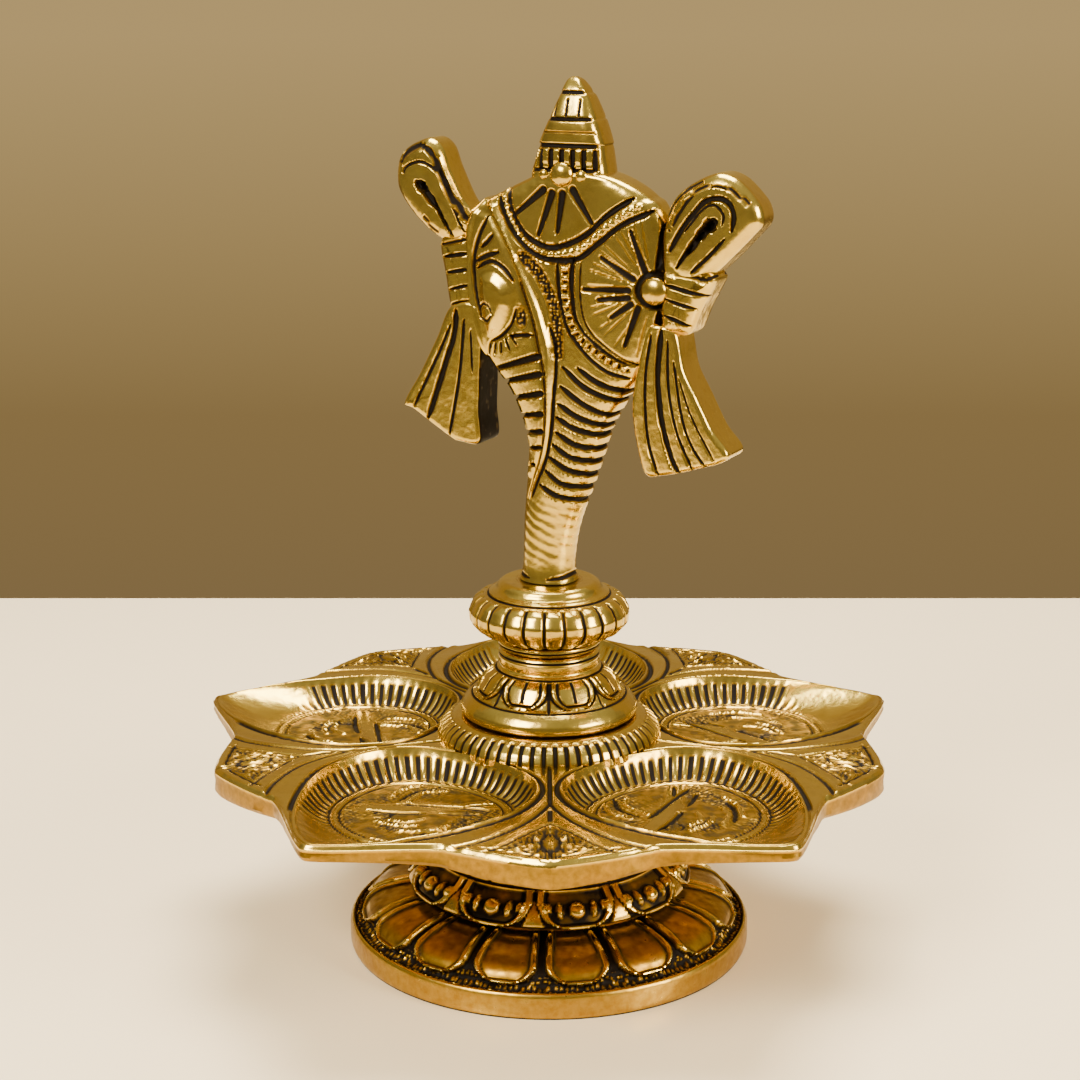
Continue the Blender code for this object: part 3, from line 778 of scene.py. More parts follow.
# %% [markdown]
# ## Carving the petal
# Two reliefs meet at the cup's edge. Inside it, sixty-odd flutes run down the wall but
# leave the spout smooth, two dark rings frame the floor, and the floor carries a polished
# blade between matted leaves. Outside, the deck has a deep line all round the cup, a
# second line that follows it, a line down the middle of the leaf where two cups crowd
# each other, and a small matted panel with a bud at the leaf's point.

# %% Relief of cup and deck
FLUTES = 66
BLADE = [(28.5, 11), (34.6, 5.2), (40.5, -1.8), (46.4, -11)]
LEAF_RIDGES = [[(30.5, -9), (35, -10.6), (39.5, -9.6)], [(30, -3), (33.6, -6), (39.5, -5.2)],
               [(44.5, 8.6), (49, 6.8), (52, 2.6)], [(41, 12.2), (46.2, 11.4), (51, 8.6)],
               [(48, 3.6), (50, 0.5), (50.4, -4)], [(44.6, 2.6), (47.6, 0.8), (48.6, -2.6)]]
LEAF_CUTS = [[(30.6, 8.2), (32.6, 6.6), (34.4, 5)], [(33.4, 9.6), (36.4, 3), (41, -6.4)],
             [(36.2, 9.4), (38.4, 6.6), (40.4, 3.6)], [(42, 1), (44.6, -3.6), (46.8, -9)],
             [(29, -5.6), (34, -8), (39.4, -7.4)], [(43, 11), (47.5, 9.4), (52, 5.4)]]
BUD = (61.3, 0)
BUDS = [(BUD, (2.6, 1.3)), ((57.4, 0), (1.3, 0.9)), ((62.2, 3.0), (1.0, 1.7)),
        ((63.6, 5.9), (0.8, 1.1)), ((59.4, 2.4), (0.8, 0.8))]
PANEL_CORNERS = [(53.6, -1), (53.6, 0), (58.4, 4.4), (64.6, 10.4), (75, 10.4), (75, -1),
                 (53.6, -1)]


def cup_relief(x, y, within, floor_gap, share):
    """x runs out along the spout, within is mm inside the cup's edge, floor_gap is mm
    inside (+) or outside (-) the floor's outline, and share is the way round the edge."""
    relief = Relief(x, y)
    spout = smooth((x - 55) / 6) * smooth((15.5 - np.abs(y)) / 3)
    wall = smooth((within - 0.35) / 0.5) * smooth((-floor_gap - 0.1) / 0.5) * (1 - spout)
    wave = np.cos(share * FULL_TURN * FLUTES)
    relief.height += 0.22 * wave * wall
    relief.stain(wall * smooth((0.25 - wave) / 0.7))
    for gap, half in ((0.15, 0.42), (2.1, 0.4)):
        relief.cut(stroke(floor_gap - gap, half), 0.35, 0.95 - 0.5 * smooth((x - 57) / 3))
    relief.lift(stroke(floor_gap - 1.15, 0.75), 0.15, 0.6)
    field = smooth((floor_gap - 2.5) / 0.4)
    blade = field * stroke(follow(x, y, curve(BLADE))[0], 2.7)
    patches = smooth(2.2 * blotches(x / 5 + 9, y / 5 + 9) - 0.5)
    relief.matting(field * (1 - blade) * patches, 0.95, 0.2, 0.25, 0.7)
    worn = 0.1 + 0.62 * blotches(x / 1.5 + 30, y / 1.5 + 30)
    relief.stain(worn * field * (1 - blade))
    for line in LEAF_RIDGES:
        relief.ridge(line, 0.75, 0.35)
    for line in LEAF_CUTS:
        relief.groove(line, 0.72, 0.55)
    relief.groove(circle((47.2, -5.4), 1.9, 6), 0.45, 0.3)
    return relief


def deck_relief(x, y, beyond, to_rim):
    """beyond is mm outside the cup's edge and to_rim is mm in from the rim. Both sides of
    the spout's line are alike, and so are both sides of the leaf's middle line."""
    side = np.abs(y)
    along = x * math.cos(SECTOR / 2) + side * math.sin(SECTOR / 2)
    off = x * math.sin(SECTOR / 2) - side * math.cos(SECTOR / 2)
    relief = Relief(along, off)
    lip = smooth((x - 62) / 4)
    relief.height += 0.25 * stroke(beyond - 0.2, 0.5) * (1 - lip)
    relief.cut(stroke(beyond - 1.05, 0.8) * (1 - lip) * smooth(to_rim / 1.4), 0.6)
    relief.cut(stroke(beyond - 0.75, 0.3) * lip * smooth(to_rim - 0.2), 0.2, 0.5)
    second = curve([(33.6, 24.6), (36.5, 25.5), (41, 26.5), (46, 26.9), (51, 26.4), (56, 25.1),
                    (60, 23.2), (62.6, 21.2)])
    away, _ = follow(x, side, second)
    relief.cut(stroke(away, 0.62) * smooth(to_rim / 1.2), 0.5)
    relief.lift(stroke(away - 1.1, 0.5) * (beyond > 2.4), 0.12, 0.0)
    seam = stroke(off, 0.7)
    relief.cut(seam * smooth((42.6 - along) / 1.5), 0.6)
    relief.cut(seam * between(along, 45.2, 51.4, 0.6), 0.4)
    edge = curve([(52.2, 0), (55.3, 2.7), (58.4, 5.5), (61.4, 8.3), (64.4, 11.6)])
    relief.cut(stroke(follow(along, off, edge)[0], 0.42) * smooth(to_rim / 1.2), 0.45)
    relief.cut(stroke(to_rim - 2.3, 0.42) * smooth((12.6 - off) / 0.6), 0.45)
    in_panel = inside(along, off, PANEL_CORNERS) & (to_rim > 2.9)
    relief.matting(in_panel * 1.0, 1.05, 0.2, 0.4, 0.7)
    for middle, size in BUDS:
        relief.lift(dome(along, off, middle, size), 0.45)
    relief.cut(stroke(np.hypot((along - BUD[0]) / 2, off) - 1.75, 0.3) * in_panel, 0.3)
    return relief


print("flutes:", FLUTES, "at", round(edge_length / FLUTES, 2), "mm")

# %% [markdown]
# ## One petal as a grid of rays
# A ray leaves the cup's middle for each of 480 evenly spaced places on the cup's edge. Rows
# of points along the rays make the cup and the deck, seven rows go down the rim's face and
# in under it, and the last ones run back beneath to the middle, where the outside of the
# cup hangs below the deck. The same two sums shape the cup's inside and its outside.

# %% Rays, rows and the five petals
FOOT_ROWS = ((0.5, 0), (1.6, 0), (2.2, 0.6))


def edge_distance(turn):
    """Distance from the cup's middle to its edge in each direction."""
    angles = np.arctan2(cup_edge[:-1, 1], cup_edge[:-1, 0] - CUP_MIDDLE)
    order = np.argsort(angles)
    away = np.hypot(cup_edge[:-1, 0] - CUP_MIDDLE, cup_edge[:-1, 1])
    return np.interp(turn, angles[order], away[order], period=FULL_TURN)


def petal_rays(count):
    """Directions from the cup's middle to evenly spaced places on the cup's edge. The
    nearest ray is moved onto each corner of the border, so that no corner is cut off."""
    run = np.append(0, np.cumsum(np.hypot(*np.diff(cup_edge, axis=0).T)))
    share = np.arange(count) / count
    x, y = (np.interp(share * run[-1], run, cup_edge[:, k]) for k in range(2))
    turn = np.arctan2(y, x - CUP_MIDDLE)
    corners = [(RIM_AT_NOTCH + SPOUT_OUT, 0.0)] + [(r * math.cos(side), r * math.sin(side))
                               for r in (rim_reach(SECTOR / 2), UNDER_COLLAR)
                               for side in (SECTOR / 2, -SECTOR / 2)]
    for cx, cy in corners:
        corner = math.atan2(cy, cx - CUP_MIDDLE)
        gap = np.abs(np.angle(np.exp(1j * (turn - corner))))
        turn[np.argmin(gap)] = corner
    return turn, share


def bowl_drop(within, to_floor):
    """How far down a bowl a place lies, from 0 at its edge to 1 on its floor: with t the
    share of the way in from the edge to the floor, 1 - (1 - t) ** 1.7."""
    share = np.clip(within / np.maximum(within + np.clip(to_floor, 0, None), 1e-6), 0, 1)
    return 1 - (1 - share) ** 1.7


def petal_top(turn, share, reach, cup_rows=56, deck_rows=40):
    """Rows of points over the cup and then the deck, and their lacquer."""
    to_edge = edge_distance(turn)
    rise = np.linspace(0, 1, cup_rows, endpoint=False)[1:, None]
    spread = np.linspace(0, 1, deck_rows)[:, None]
    ray = np.vstack([rise * to_edge, to_edge + spread * (reach - to_edge)])
    x, y = CUP_MIDDLE + ray * np.cos(turn), ray * np.sin(turn)
    in_cup = np.arange(len(ray))[:, None] < cup_rows - 1
    to_cup, floor_gap = follow(x, y, cup_edge)[0], signed(x, y, cup_floor)
    to_rim = rim_reach(np.arctan2(y, x)) - np.hypot(x, y)
    deck = RIM_TOP + DECK_CROWN * smooth(to_rim / 14) - 0.9 * smooth((1.0 - to_rim) / 1.0) ** 2
    bowl = deck - 0.1 - (deck - 0.1 - CUP_FLOOR) * bowl_drop(to_cup, -floor_gap)
    cup = cup_relief(x, y, to_cup, floor_gap, np.broadcast_to(share[None, :], x.shape))
    top = deck_relief(x, y, to_cup, to_rim)
    plain = np.where(in_cup, bowl, deck)
    level = np.where(in_cup, bowl + cup.height, deck + top.height)
    cover = np.where(in_cup, cup.lacquer, top.lacquer) + 0.9 * hollows(level - plain, 4)
    return np.stack([x, y, level], -1), cover


def petal_rim(last, on_rim, under):
    """Rows down the rim's face and in along its foot, from the deck's last row. The foot
    hangs lowest under the leaves, 2.3 mm below its height under the spouts."""
    x, y, deck = last.T
    radius, angle = np.hypot(x, y), np.arctan2(y, x)
    depth = 3.2 + 2.3 * (0.5 - 0.5 * np.cos(angle * CUPS))
    foot = RIM_TOP - depth
    clear_of_join = smooth((SECTOR / 2 - np.abs(angle)) / 0.05)
    rows = [(0.0, RIM_TOP - 1.5), (0.15, RIM_TOP - 0.5 * depth), (0.0, foot + 0.8)]
    rows += [(inset, foot + rise) for inset, rise in FOOT_ROWS] + [(2.4, under)]
    made = []
    for inset, height in rows:
        filed = blotches(angle * 9 + 40, 3.0 * height + 0 * angle) - 0.5
        wobble = 0.3 * filed * clear_of_join
        here = radius - (inset + wobble * (height > foot)) * on_rim
        inner = np.minimum(under + 0.8, deck) if inset < 1 else under
        z = np.where(on_rim, height, inner)
        made.append(np.stack([here * np.cos(angle), here * np.sin(angle), z], -1))
    return np.array(made)


def petal_under(turn, reach, under):
    """Rows back beneath the petal to the cup's middle, a wall's thickness below the cup."""
    ray = np.linspace(0.93, 0.1, 13)[:, None] * reach
    x, y = CUP_MIDDLE + ray * np.cos(turn), ray * np.sin(turn)
    within = np.clip(signed(x, y, cup_edge), 0, None)
    z = under - (under - CUP_FLOOR + WALL) * bowl_drop(within, -signed(x, y, cup_floor))
    return np.stack([x, y, z], -1)


def petal(number, columns=480):
    """Cup, deck, rim and underside of one petal, turned to its place round the axis."""
    turn, share = petal_rays(columns)
    reach, on_rim = border(turn)
    under = RIM_TOP - 2.7
    top, cover = petal_top(turn, share, reach)
    grid = np.vstack([top, petal_rim(top[-1], on_rim, under), petal_under(turn, reach, under)])
    # Below the deck the lacquer is set even, 0.35, and 0.4 on the rim's first four rows. This is
    # painted shade: it darkens the rim's upright face and the petal's underside, where they would
    # mirror the bright floor and key light.
    lacquer = np.full(grid.shape[:2], 0.35)
    lacquer[:len(cover)] = cover
    lacquer[len(cover):len(cover) + 4] = 0.4
    centre = FRONT + SECTOR * (number - 0.5)
    c, s = math.cos(centre), math.sin(centre)
    x, y, z = np.moveaxis(grid, -1, 0)
    return skin(f"tray_petal_{number}", np.stack([x * c - y * s, x * s + y * c, z], -1), lacquer,
                "stand", "diya_tray")


for number in range(1, CUPS + 1):
    petal(number)

# %% [markdown]
# ## The conch's body
# The finial is a conch shell standing on its tip, bound with ribbons like a gift. It is
# one casting, carved in full on both faces. Its body is a stack of flat ovals whose left
# end, right end and thickness are curves through a few levels. Each oval is a superellipse,
# |x|ᵖ + |y|ᵖ = 1. In the thin tail p is 2.1, which is nearly round, and it grows to 4 above,
# which is nearly a rounded rectangle. So the faces there are flat enough to be carved.

# %% Sections of the conch
FINIAL_TURN = math.radians(-26)
ROUND_POWER, SQUARE_POWER = 2.1, 4
# each level: its height, left end, right end and half depth
BODY_LEVELS = [(77.3, -5.9, 5.9, 5.7), (80, -5.2, 5.4, 5.3), (84, -5.0, 5.6, 5.2),
               (90, -4.9, 6.9, 5.2), (97, -4.3, 9.6, 5.3), (104, -3.3, 11.9, 5.3),
               (110, -4.4, 13.8, 5.3), (116, -7.0, 17.2, 5.4), (120, -10.6, 20.2, 5.4),
               (126, -14.6, 23.2, 5.4), (133, -16.2, 25.2, 5.4), (142, -16.6, 25.5, 5.4),
               (148.4, -16.4, 25.2, 5.3), (152, -13.6, 24.2, 5.2), (154.8, -8.6, 21.8, 5.1),
               (157, -4.0, 18.2, 5.0), (158.6, -0.6, 14.0, 4.8), (159.4, 3.0, 10.0, 3.0)]
CROWN_LEVELS = [(157.2, -2.8, 13.4, 4.6), (159.0, -2.5, 13.3, 4.9), (163.0, -1.1, 12.6, 4.9),
                (163.9, -0.8, 12.4, 4.6), (164.6, -0.9, 12.4, 4.9), (168.2, 0.8, 11.2, 4.6),
                (168.8, 1.2, 10.8, 4.2), (169.6, 1.5, 10.6, 4.3), (172.9, 2.9, 9.2, 3.2),
                (173.7, 3.3, 8.5, 2.7), (174.5, 3.5, 8.1, 2.6), (176.0, 4.2, 6.9, 1.6),
                (176.6, 4.9, 5.9, 0.6)]


def oval(columns, front_share, ratio, power):
    """Unit superellipse walked at even steps when its width is ratio times its depth, with
    front_share of its columns on the -Y face. It runs anticlockwise from +X."""
    angle = np.linspace(0, FULL_TURN, 8001)
    power = 2 / power
    x, y = (np.sign(k) * np.abs(k) ** power for k in (np.cos(angle), np.sin(angle)))
    run = np.append(0, np.cumsum(np.hypot(ratio * np.diff(x), np.diff(y))))
    front = int(columns * front_share)
    half = run[-1] / 2
    places = np.append(np.linspace(0, half, columns - front, endpoint=False),
                       half + np.linspace(0, half, front, endpoint=False))
    return np.interp(places, run, x), np.interp(places, run, y)


def stacked(levels, step, columns, front_share, ratio):
    """Grid of ovals along a curve through (height, left, right, half depth) levels. The
    thin tail is round, and the section squares up over 25 mm above it."""
    rows, _ = walk(curve(levels, parts=10), step)
    height, left, right, half = (rows[:, k:k + 1] for k in range(4))
    square = smooth((height - 92) / 25)
    x, y = (square * a + (1 - square) * b
            for a, b in zip(oval(columns, front_share, ratio, SQUARE_POWER),
                            oval(columns, front_share, ratio, ROUND_POWER)))
    across = (left + right) / 2 + (right - left) / 2 * x
    return np.stack([across, half * y, height + 0 * across], -1)


def face_turn(points):
    """Turn the finial's grid from square on to the way it faces on the lamp."""
    c, s = math.cos(FINIAL_TURN), math.sin(FINIAL_TURN)
    x, y, z = np.moveaxis(points, -1, 0)
    return np.stack([c * x - s * y, s * x + c * y, z], -1)


def carved(name, grid, relief, cells=4, soft=0.9):
    """Skin of a grid moved out along its normals by the relief's height."""
    normal = outward(grid, ring=False)
    normal *= np.sign(np.sum(normal * (grid - grid.mean((0, 1)))))
    cover = relief.lacquer + soft * hollows(relief.height, cells)
    return skin(name, face_turn(grid + normal * relief.height[..., None]), cover, "finial",
                "conch_finial")


def band(relief, left, right, rise, ease):
    """Raise the space between two curves by rise mm, easing in from its edges."""
    loop = np.vstack([curve(left), curve(right[::-1])])
    loop = np.vstack([loop, loop[:1]])
    low, high = loop.min(0), loop.max(0)
    near = (relief.x > low[0]) & (relief.x < high[0]) & (relief.y > low[1]) & (relief.y < high[1])
    share = np.zeros(relief.x.shape)
    x, y = relief.x[near], relief.y[near]
    share[near] = smooth(follow(x, y, loop)[0] / ease) * inside(x, y, loop)
    relief.height += rise * share
    return share


print("body from", BODY_LEVELS[0][0], "to", BODY_LEVELS[-1][0], "mm, crown to", CROWN_LEVELS[-1][0])

# %% [markdown]
# ## Carving the conch
# The carving is drawn on the conch's face in millimetres, x across and y up. The shell's lip
# is a smooth raised band that runs the whole height. To its left lies an eyed panel with a
# row of wedge cuts below it, and to its right a beaded border and a half medallion. Ribs run
# down the tail, and a beaded garland hangs over the shoulders. A carver draws such lines by
# hand, so they are lists of points, cut one after another in the order of the work.

# %% Lines of the carving
LIP_LEFT = [(-11.9, 153.2), (-10.1, 150.1), (-7.4, 145.6), (-5.6, 141.9), (-3.8, 137.7),
            (-2, 132.8), (-0.7, 128.8), (0.2, 124.7), (1.1, 120.7), (1.6, 114.7), (1.3, 108),
            (0.4, 103), (-1.2, 98.6), (-2.9, 94)]
LIP_RIGHT = [(-8.6, 152.4), (-6.2, 147), (-3.7, 142), (-1.3, 137.8), (0.8, 133.6), (2.2, 129.5),
             (3.4, 125.4), (3.7, 121), (3.2, 115), (2.8, 110), (2.2, 105.9), (1.2, 102.1),
             (-0.6, 98), (-2.2, 94.4)]
GARLAND_TOP = [(-7, 156), (-5.9, 151.4), (-3.2, 147.1), (0.1, 145.1), (3.1, 144.5), (6.8, 145.5),
               (10.9, 147.8), (14.3, 150.9), (19.6, 154.6)]
GARLAND_LOW = [(-8.8, 153.8), (-6.2, 148.4), (-3.4, 145.0), (-0.8, 143.1), (3.1, 142.1),
               (8.6, 142.7), (13, 145.9), (17.3, 149.3), (23.2, 152.2)]
GARLAND_BEADS = [(-7.6, 154), (-5.6, 149.3), (-3.0, 145.7), (-0.3, 143.9), (3.1, 143.2),
                 (7.8, 144.1), (12, 146.9), (15.8, 150.1), (21, 153.2)]
PEARLS = [(5.9, 141.5), (5.9, 138.8), (5.9, 135.5), (6.5, 132.6), (7.1, 130.4), (8.3, 128.1),
          (10.4, 126.3), (12.8, 124.9), (15.5, 123.2), (19, 121.6)]
PEARLS_LEFT = [(4.1, 141.4), (4.4, 137.3), (5, 133.3), (6.2, 129.3), (8.3, 126.4), (11, 123.6),
               (14.6, 121.2), (19, 120)]
PEARLS_RIGHT = [(7.4, 142.2), (7.2, 139.2), (7.3, 135.6), (8.0, 131.6), (9.6, 128.9),
                (11.5, 127.2), (14.4, 125.2), (18.1, 123.3), (21.4, 122.8)]
EGG = [(-13.2, 134.6), (-13, 138.2), (-11.1, 139.4), (-8.7, 139.3), (-6.2, 137.5), (-5, 135.4),
       (-5.3, 132.6), (-6.9, 129.2), (-8.7, 126.9), (-10.9, 126.2), (-12.4, 129.8)]
EYED_PANEL_SIDE = [(-17, 152), (-17.4, 140), (-15.4, 127), (-9, 118), (-4, 108), (-4, 98)]
EYED_PANEL_EDGE = [(-12.5, 152.7), (-14.4, 149.9), (-15.5, 145.7), (-15.6, 140.2), (-15.5, 135.3),
                   (-14.6, 130.6), (-13.4, 126.5), (-12.2, 122.4)]
CHANNEL = [(-3.2, 142.4), (-0.4, 140), (1.7, 136.9), (3.4, 133.2), (4.2, 128.9), (4.4, 124)]
# each groove: half width, depth, then its points
EYED_PANEL_LINES = [
    (0.65, 0.7, (-10.9, 149.6), (-12.9, 145.9), (-14.2, 141.7), (-14.2, 137.6), (-13.6, 133.5),
     (-12.5, 130.2)),
    (0.6, 0.6, (-9.7, 146.3), (-10.9, 144.9), (-12.3, 143.8)),
    (0.65, 0.6, (-8.4, 143), (-11, 142.2), (-13.9, 140.8)),
    (0.6, 0.6, (-13.3, 139.6), (-11.7, 140.7), (-9.6, 141.1), (-7.1, 139.8), (-5.1, 137.6)),
    (0.45, 0.5, (-4.6, 132.2), (-5.5, 129.3), (-7.8, 126.7), (-10.2, 125.4)),
    (0.35, 0.4, (-10.4, 125.2), (-11, 122.8)), (0.35, 0.4, (-9.2, 125.2), (-9.6, 122.9)),
    (0.35, 0.4, (-8, 125.4), (-8, 123.2)), (0.35, 0.4, (-6.9, 126.1), (-6, 123.9)),
    (0.35, 0.4, (-5.9, 127), (-4.3, 124.9)),
    (0.55, 0.6, (-0.9, 127.3), (-3.6, 127.1), (-6, 126.7)),
    (0.4, 0.4, (-15.1, 129), (-13.4, 124.9), (-12, 122.2))]
# each wedge: its two ends and its half width
TEETH = [((-0.2, 123.0), (-9.4, 120.0), 1.0), ((0.3, 119.6), (-8, 117.5), 0.95),
         ((0.6, 115.8), (-5.9, 114.4), 0.9), ((0.6, 111.7), (-4.3, 111.0), 0.85),
         ((0.5, 108.2), (-3.3, 107.7), 0.75), ((0.2, 104.9), (-2.7, 104.5), 0.65),
         ((-1.2, 101.3), (-2.4, 101.1), 0.55)]
SHOULDER_RAYS = [((0.9, 155.4), (-4.6, 150.8)), ((2.8, 154.8), (0.1, 146.8)),
                 ((5.0, 154.8), (4.1, 147.6)), ((7.2, 155.6), (11.3, 149.6))]
MEDALLION_RAYS = [((20, 139.4), (13.6, 143.2)), ((19, 137.2), (10, 136.9)),
                  ((19, 135.8), (13, 135.1)), ((22.2, 141), (19.4, 148.4)),
                  ((19.6, 134.6), (15.6, 131.8)), ((21, 133.9), (18.4, 126.6)),
                  ((24.6, 141.4), (25.0, 148.6))]
RIBS = [((8.6, 121.4), (12.7, 118.9), (17.4, 117.4)), ((5.4, 121.4), (9.7, 117.9), (15.6, 115.6)),
        ((4.9, 117.6), (8.9, 114.8), (13.8, 112.6)), ((4.4, 114), (8.5, 111.7), (13.4, 110.3)),
        ((4.0, 111.3), (8, 109.3), (12.7, 108.3)), ((3.9, 108.3), (7.7, 106.2), (11.9, 105.5)),
        ((3.2, 105.8), (6.8, 103.6), (11, 102.8)), ((2.3, 103.2), (6.2, 101), (10.2, 100.0)),
        ((1.5, 100.4), (4.9, 98.1), (9, 97.4)), ((0.2, 97.4), (3.7, 95.6), (7.8, 94.7))]

print("carving:", len(RIBS), "ribs,", len(TEETH), "wedge cuts and", len(SHOULDER_RAYS),
      "shoulder rays")

# %% Cutting the conch
MEDALLION = np.array([24, 137.4])


def tooth(relief, start, end, half, depth):
    """A wedge cut: a stroke whose half width shrinks evenly to 0.55 of itself at its end."""
    away, along = follow(relief.x, relief.y, np.array([start, end]), half)
    share = along / math.dist(start, end)
    relief.cut(stroke(away, half * (1 - 0.45 * share)) * np.isfinite(away), depth)


def lip_side(height):
    """Where the lip's left edge lies at each height."""
    edge = np.array(sorted((b, a) for a, b in LIP_LEFT))
    return np.interp(height, edge[:, 0], edge[:, 1])


def conch_relief(x, y):
    """The whole of the conch's carving, on a face where x is mm across and y is height."""
    relief = Relief(x, y)
    tail = between(y, 80, 95, 4, 3)
    wrinkle = np.sin(FULL_TURN * (y + 0.45 * x + 1.2 * blotches(x / 4, y / 4)) / 2.1)
    relief.height += 0.03 * tail * wrinkle
    relief.lacquer += 0.07 * tail * smooth(-wrinkle)
    for side in (-1, 1):
        relief.groove([(side * 6.4, 79.6), (side * 5.0, 78.6), (side * 2.0, 78.1)], 0.6, 0.3)
    band(relief, EYED_PANEL_SIDE, LIP_LEFT[1:-1], 0.35, 1.2)
    band(relief, EGG[:6], EGG[:5:-1], 1.0, 2.6)
    relief.ridge(EYED_PANEL_EDGE, 0.95, 0.5)
    for half, depth, *points in EYED_PANEL_LINES:
        relief.groove(points, half, depth)
    relief.groove(circle((-11.2, 131.1), 1.7, 7), 0.4, 0.35, 0.9)
    stipple = stroke(np.hypot((x + 3.4) / 1.5, (y - 130.6) / 2.6), 1.2)
    relief.matting(stipple * (x < lip_side(y) - 0.3), 0.9, 0.3, 0.35)
    for start, end, half in TEETH:
        tooth(relief, start, end, half, 0.9)
    away, _ = follow(x, y, curve(CHANNEL), 3)
    relief.matting(stroke(away, 1.7) * np.isfinite(away), 0.8, 0.5, 0.4, 0.85)
    band(relief, LIP_LEFT, LIP_RIGHT, 1.25, 1.3)
    relief.lacquer *= 1 - 0.95 * band(relief, LIP_LEFT, LIP_RIGHT, 0.0, 0.5)
    relief.groove(np.add(LIP_RIGHT[5:], (0.25, 0)), 0.5, 0.5)
    relief.groove(np.add(LIP_LEFT[4:], (-0.1, 0)), 0.3, 0.25, 0.6)
    for points in RIBS:
        relief.groove(points + ((points[-1][0] + 2.2, points[-1][1] - 0.2),), 0.8, 0.75)
    middle = np.hypot(x - MEDALLION[0], y - MEDALLION[1])
    disc = smooth((17.4 - middle) / 1.5) * smooth((x - 7.6) / 1) * smooth((y - 121.5) / 3)
    relief.height += 0.45 * disc
    for line, half, depth in ((PEARLS_LEFT, 0.55, 0.6), (PEARLS_RIGHT, 0.6, 0.55)):
        relief.groove(line, half, depth)
    relief.groove(PEARLS, 0.75, 0.35, 0.75)
    relief.beads(PEARLS, 1.75, 0.78, 0.85)
    ring = np.add(PEARLS_RIGHT, (1.05, -0.1))
    relief.ridge(ring, 0.5, 0.3)
    relief.groove(ring + (0.95, -0.15), 0.32, 0.25, 0.8)
    for start, end in MEDALLION_RAYS:
        tooth(relief, start, end, 1.0, 0.55)
    for k in range(26):
        if k % 3:
            turn = math.radians(95 + 6.4 * k)
            ray = np.array([math.cos(turn), math.sin(turn)])
            relief.groove([MEDALLION + 5.4 * ray, MEDALLION + 13.2 * ray], 0.3, 0.12, 0.3)
    relief.groove([(24.6, 133.4), (24.3, 129.2), (22.6, 125.4)], 0.8, 0.6)
    relief.groove([(24.4, 142), (25.2, 145.4), (25, 149.5)], 0.8, 0.6)
    relief.cut(stroke(middle - 3.1, 0.75), 0.7)
    for start, end in SHOULDER_RAYS:
        tooth(relief, start, end, 1.15, 0.6)
    for line in (GARLAND_TOP, GARLAND_LOW):
        relief.groove(line, 0.75, 0.75)
    relief.beads(GARLAND_BEADS, 1.5, 0.62, 0.45)
    return relief


body_grid = stacked(BODY_LEVELS, 0.32, 288, 0.68, 3.4)
carved("conch_body", body_grid, conch_relief(body_grid[..., 0], body_grid[..., 2]))

# %% [markdown]
# ## The crown
# Over the shoulders stands a small stepped crown: a row of hanging beads, a plain double
# band, a ribbed band and a cap. It is a short stack of the same ovals, sunk a little into
# the shoulders so that no seam shows, and each step is one groove between two levels.

# %% Crown
BEAD_PITCH = 2.28


def crown_relief(x, depth, y):
    """Beads, bands, ribs and cap, one above another, on both faces but not the ends."""
    relief = Relief(x, y)
    bead_row = between(y, 159.0, 163.4, 0.4)
    in_bead = 0.36 - np.abs(((x + 2.0) / BEAD_PITCH) % 1 - 0.5)
    relief.cut(bead_row * (1 - smooth(in_bead / 0.14)), 0.55)
    relief.lift(bead_row * smooth(in_bead / 0.2) * smooth((y - 160.2) / 1.0), 0.25, 0)
    relief.cut(stroke(y - 159.2, 0.6) * smooth((3.6 - np.abs(np.abs(x - 4) - 4.4)) / 1), 0.4, 0.9)
    for level, half in ((163.9, 0.6), (166.4, 0.35), (168.8, 0.5), (173.8, 0.55)):
        relief.cut(stroke(y - level, half) + 0 * x, 0.22, 0.95 if half > 0.4 else 0.5)
    for place in (2.9, 5.4, 8.0):
        relief.cut(stroke(x - place, 0.4) * between(y, 169, 172.8, 0.4, 0.5), 0.3, 0.85)
    on_face = smooth((np.abs(depth) / np.abs(depth).max(1, keepdims=True) - 0.66) / 0.2)
    relief.height *= on_face
    relief.lacquer *= on_face
    return relief


crown_grid = stacked(CROWN_LEVELS, 0.2, 200, 0.6, 1.6)
carved("conch_crown", crown_grid, crown_relief(*np.moveaxis(crown_grid, -1, 0)))


# %% [markdown]
# ## Bosses
# Four polished buttons sit on each face: a big one in the half medallion, one under the
# crown, and a leaf bead at each side of that. Each is a grid of rings from its top down to a
# short straight rim, which sinks into the casting so that no gap shows round it.

# %% Small round bosses
def button(name, x, z, radius, rise, face, offset):
    """A round boss on the face: a half ellipsoid on a short straight rim."""
    tilt = np.linspace(0.02, 1, 16)[:, None] * math.pi / 2
    around = np.linspace(0, FULL_TURN, 64, endpoint=False)[None, :]
    out = radius * np.sin(tilt)
    depth = np.broadcast_to(offset + rise * np.cos(tilt), (16, 64))
    rows = np.stack([x + out * np.cos(around), face * depth, z + out * np.sin(around)], -1)
    base = rows[-1:] - [0, face * (offset - 2.0), 0]
    grid = np.vstack([rows, base])
    cover = np.full(grid.shape[:2], 0.06)
    cover[-3:] = 0.9
    skin(name, face_turn(grid), cover, "finial", "conch_finial")


for face, side in ((-1, "front"), (1, "back")):
    button(f"medallion_boss_{side}", 24.2, 137.4, 2.7, 1.5, face, 4.7)
    button(f"crown_boss_{side}", 4.9, 158.5, 2.45, 1.7, face, 4.7)
    button(f"leaf_bead_right_{side}", 8.9, 158.3, 1.2, 0.8, face, 4.6)
    button(f"leaf_bead_left_{side}", 1.0, 158.4, 1.0, 0.7, face, 4.6)

# %% [markdown]
# ## Ribbons
# A bow, a knot and a hanging tail stand out at each side. They are plates as thick as the
# conch, with rounded edges, and grooves fold them into pleats. Each is a grid of rays from
# a place inside its outline: across the front face, round the edge, and back across the
# rear face to a second pole. The pleats are the same on both faces.

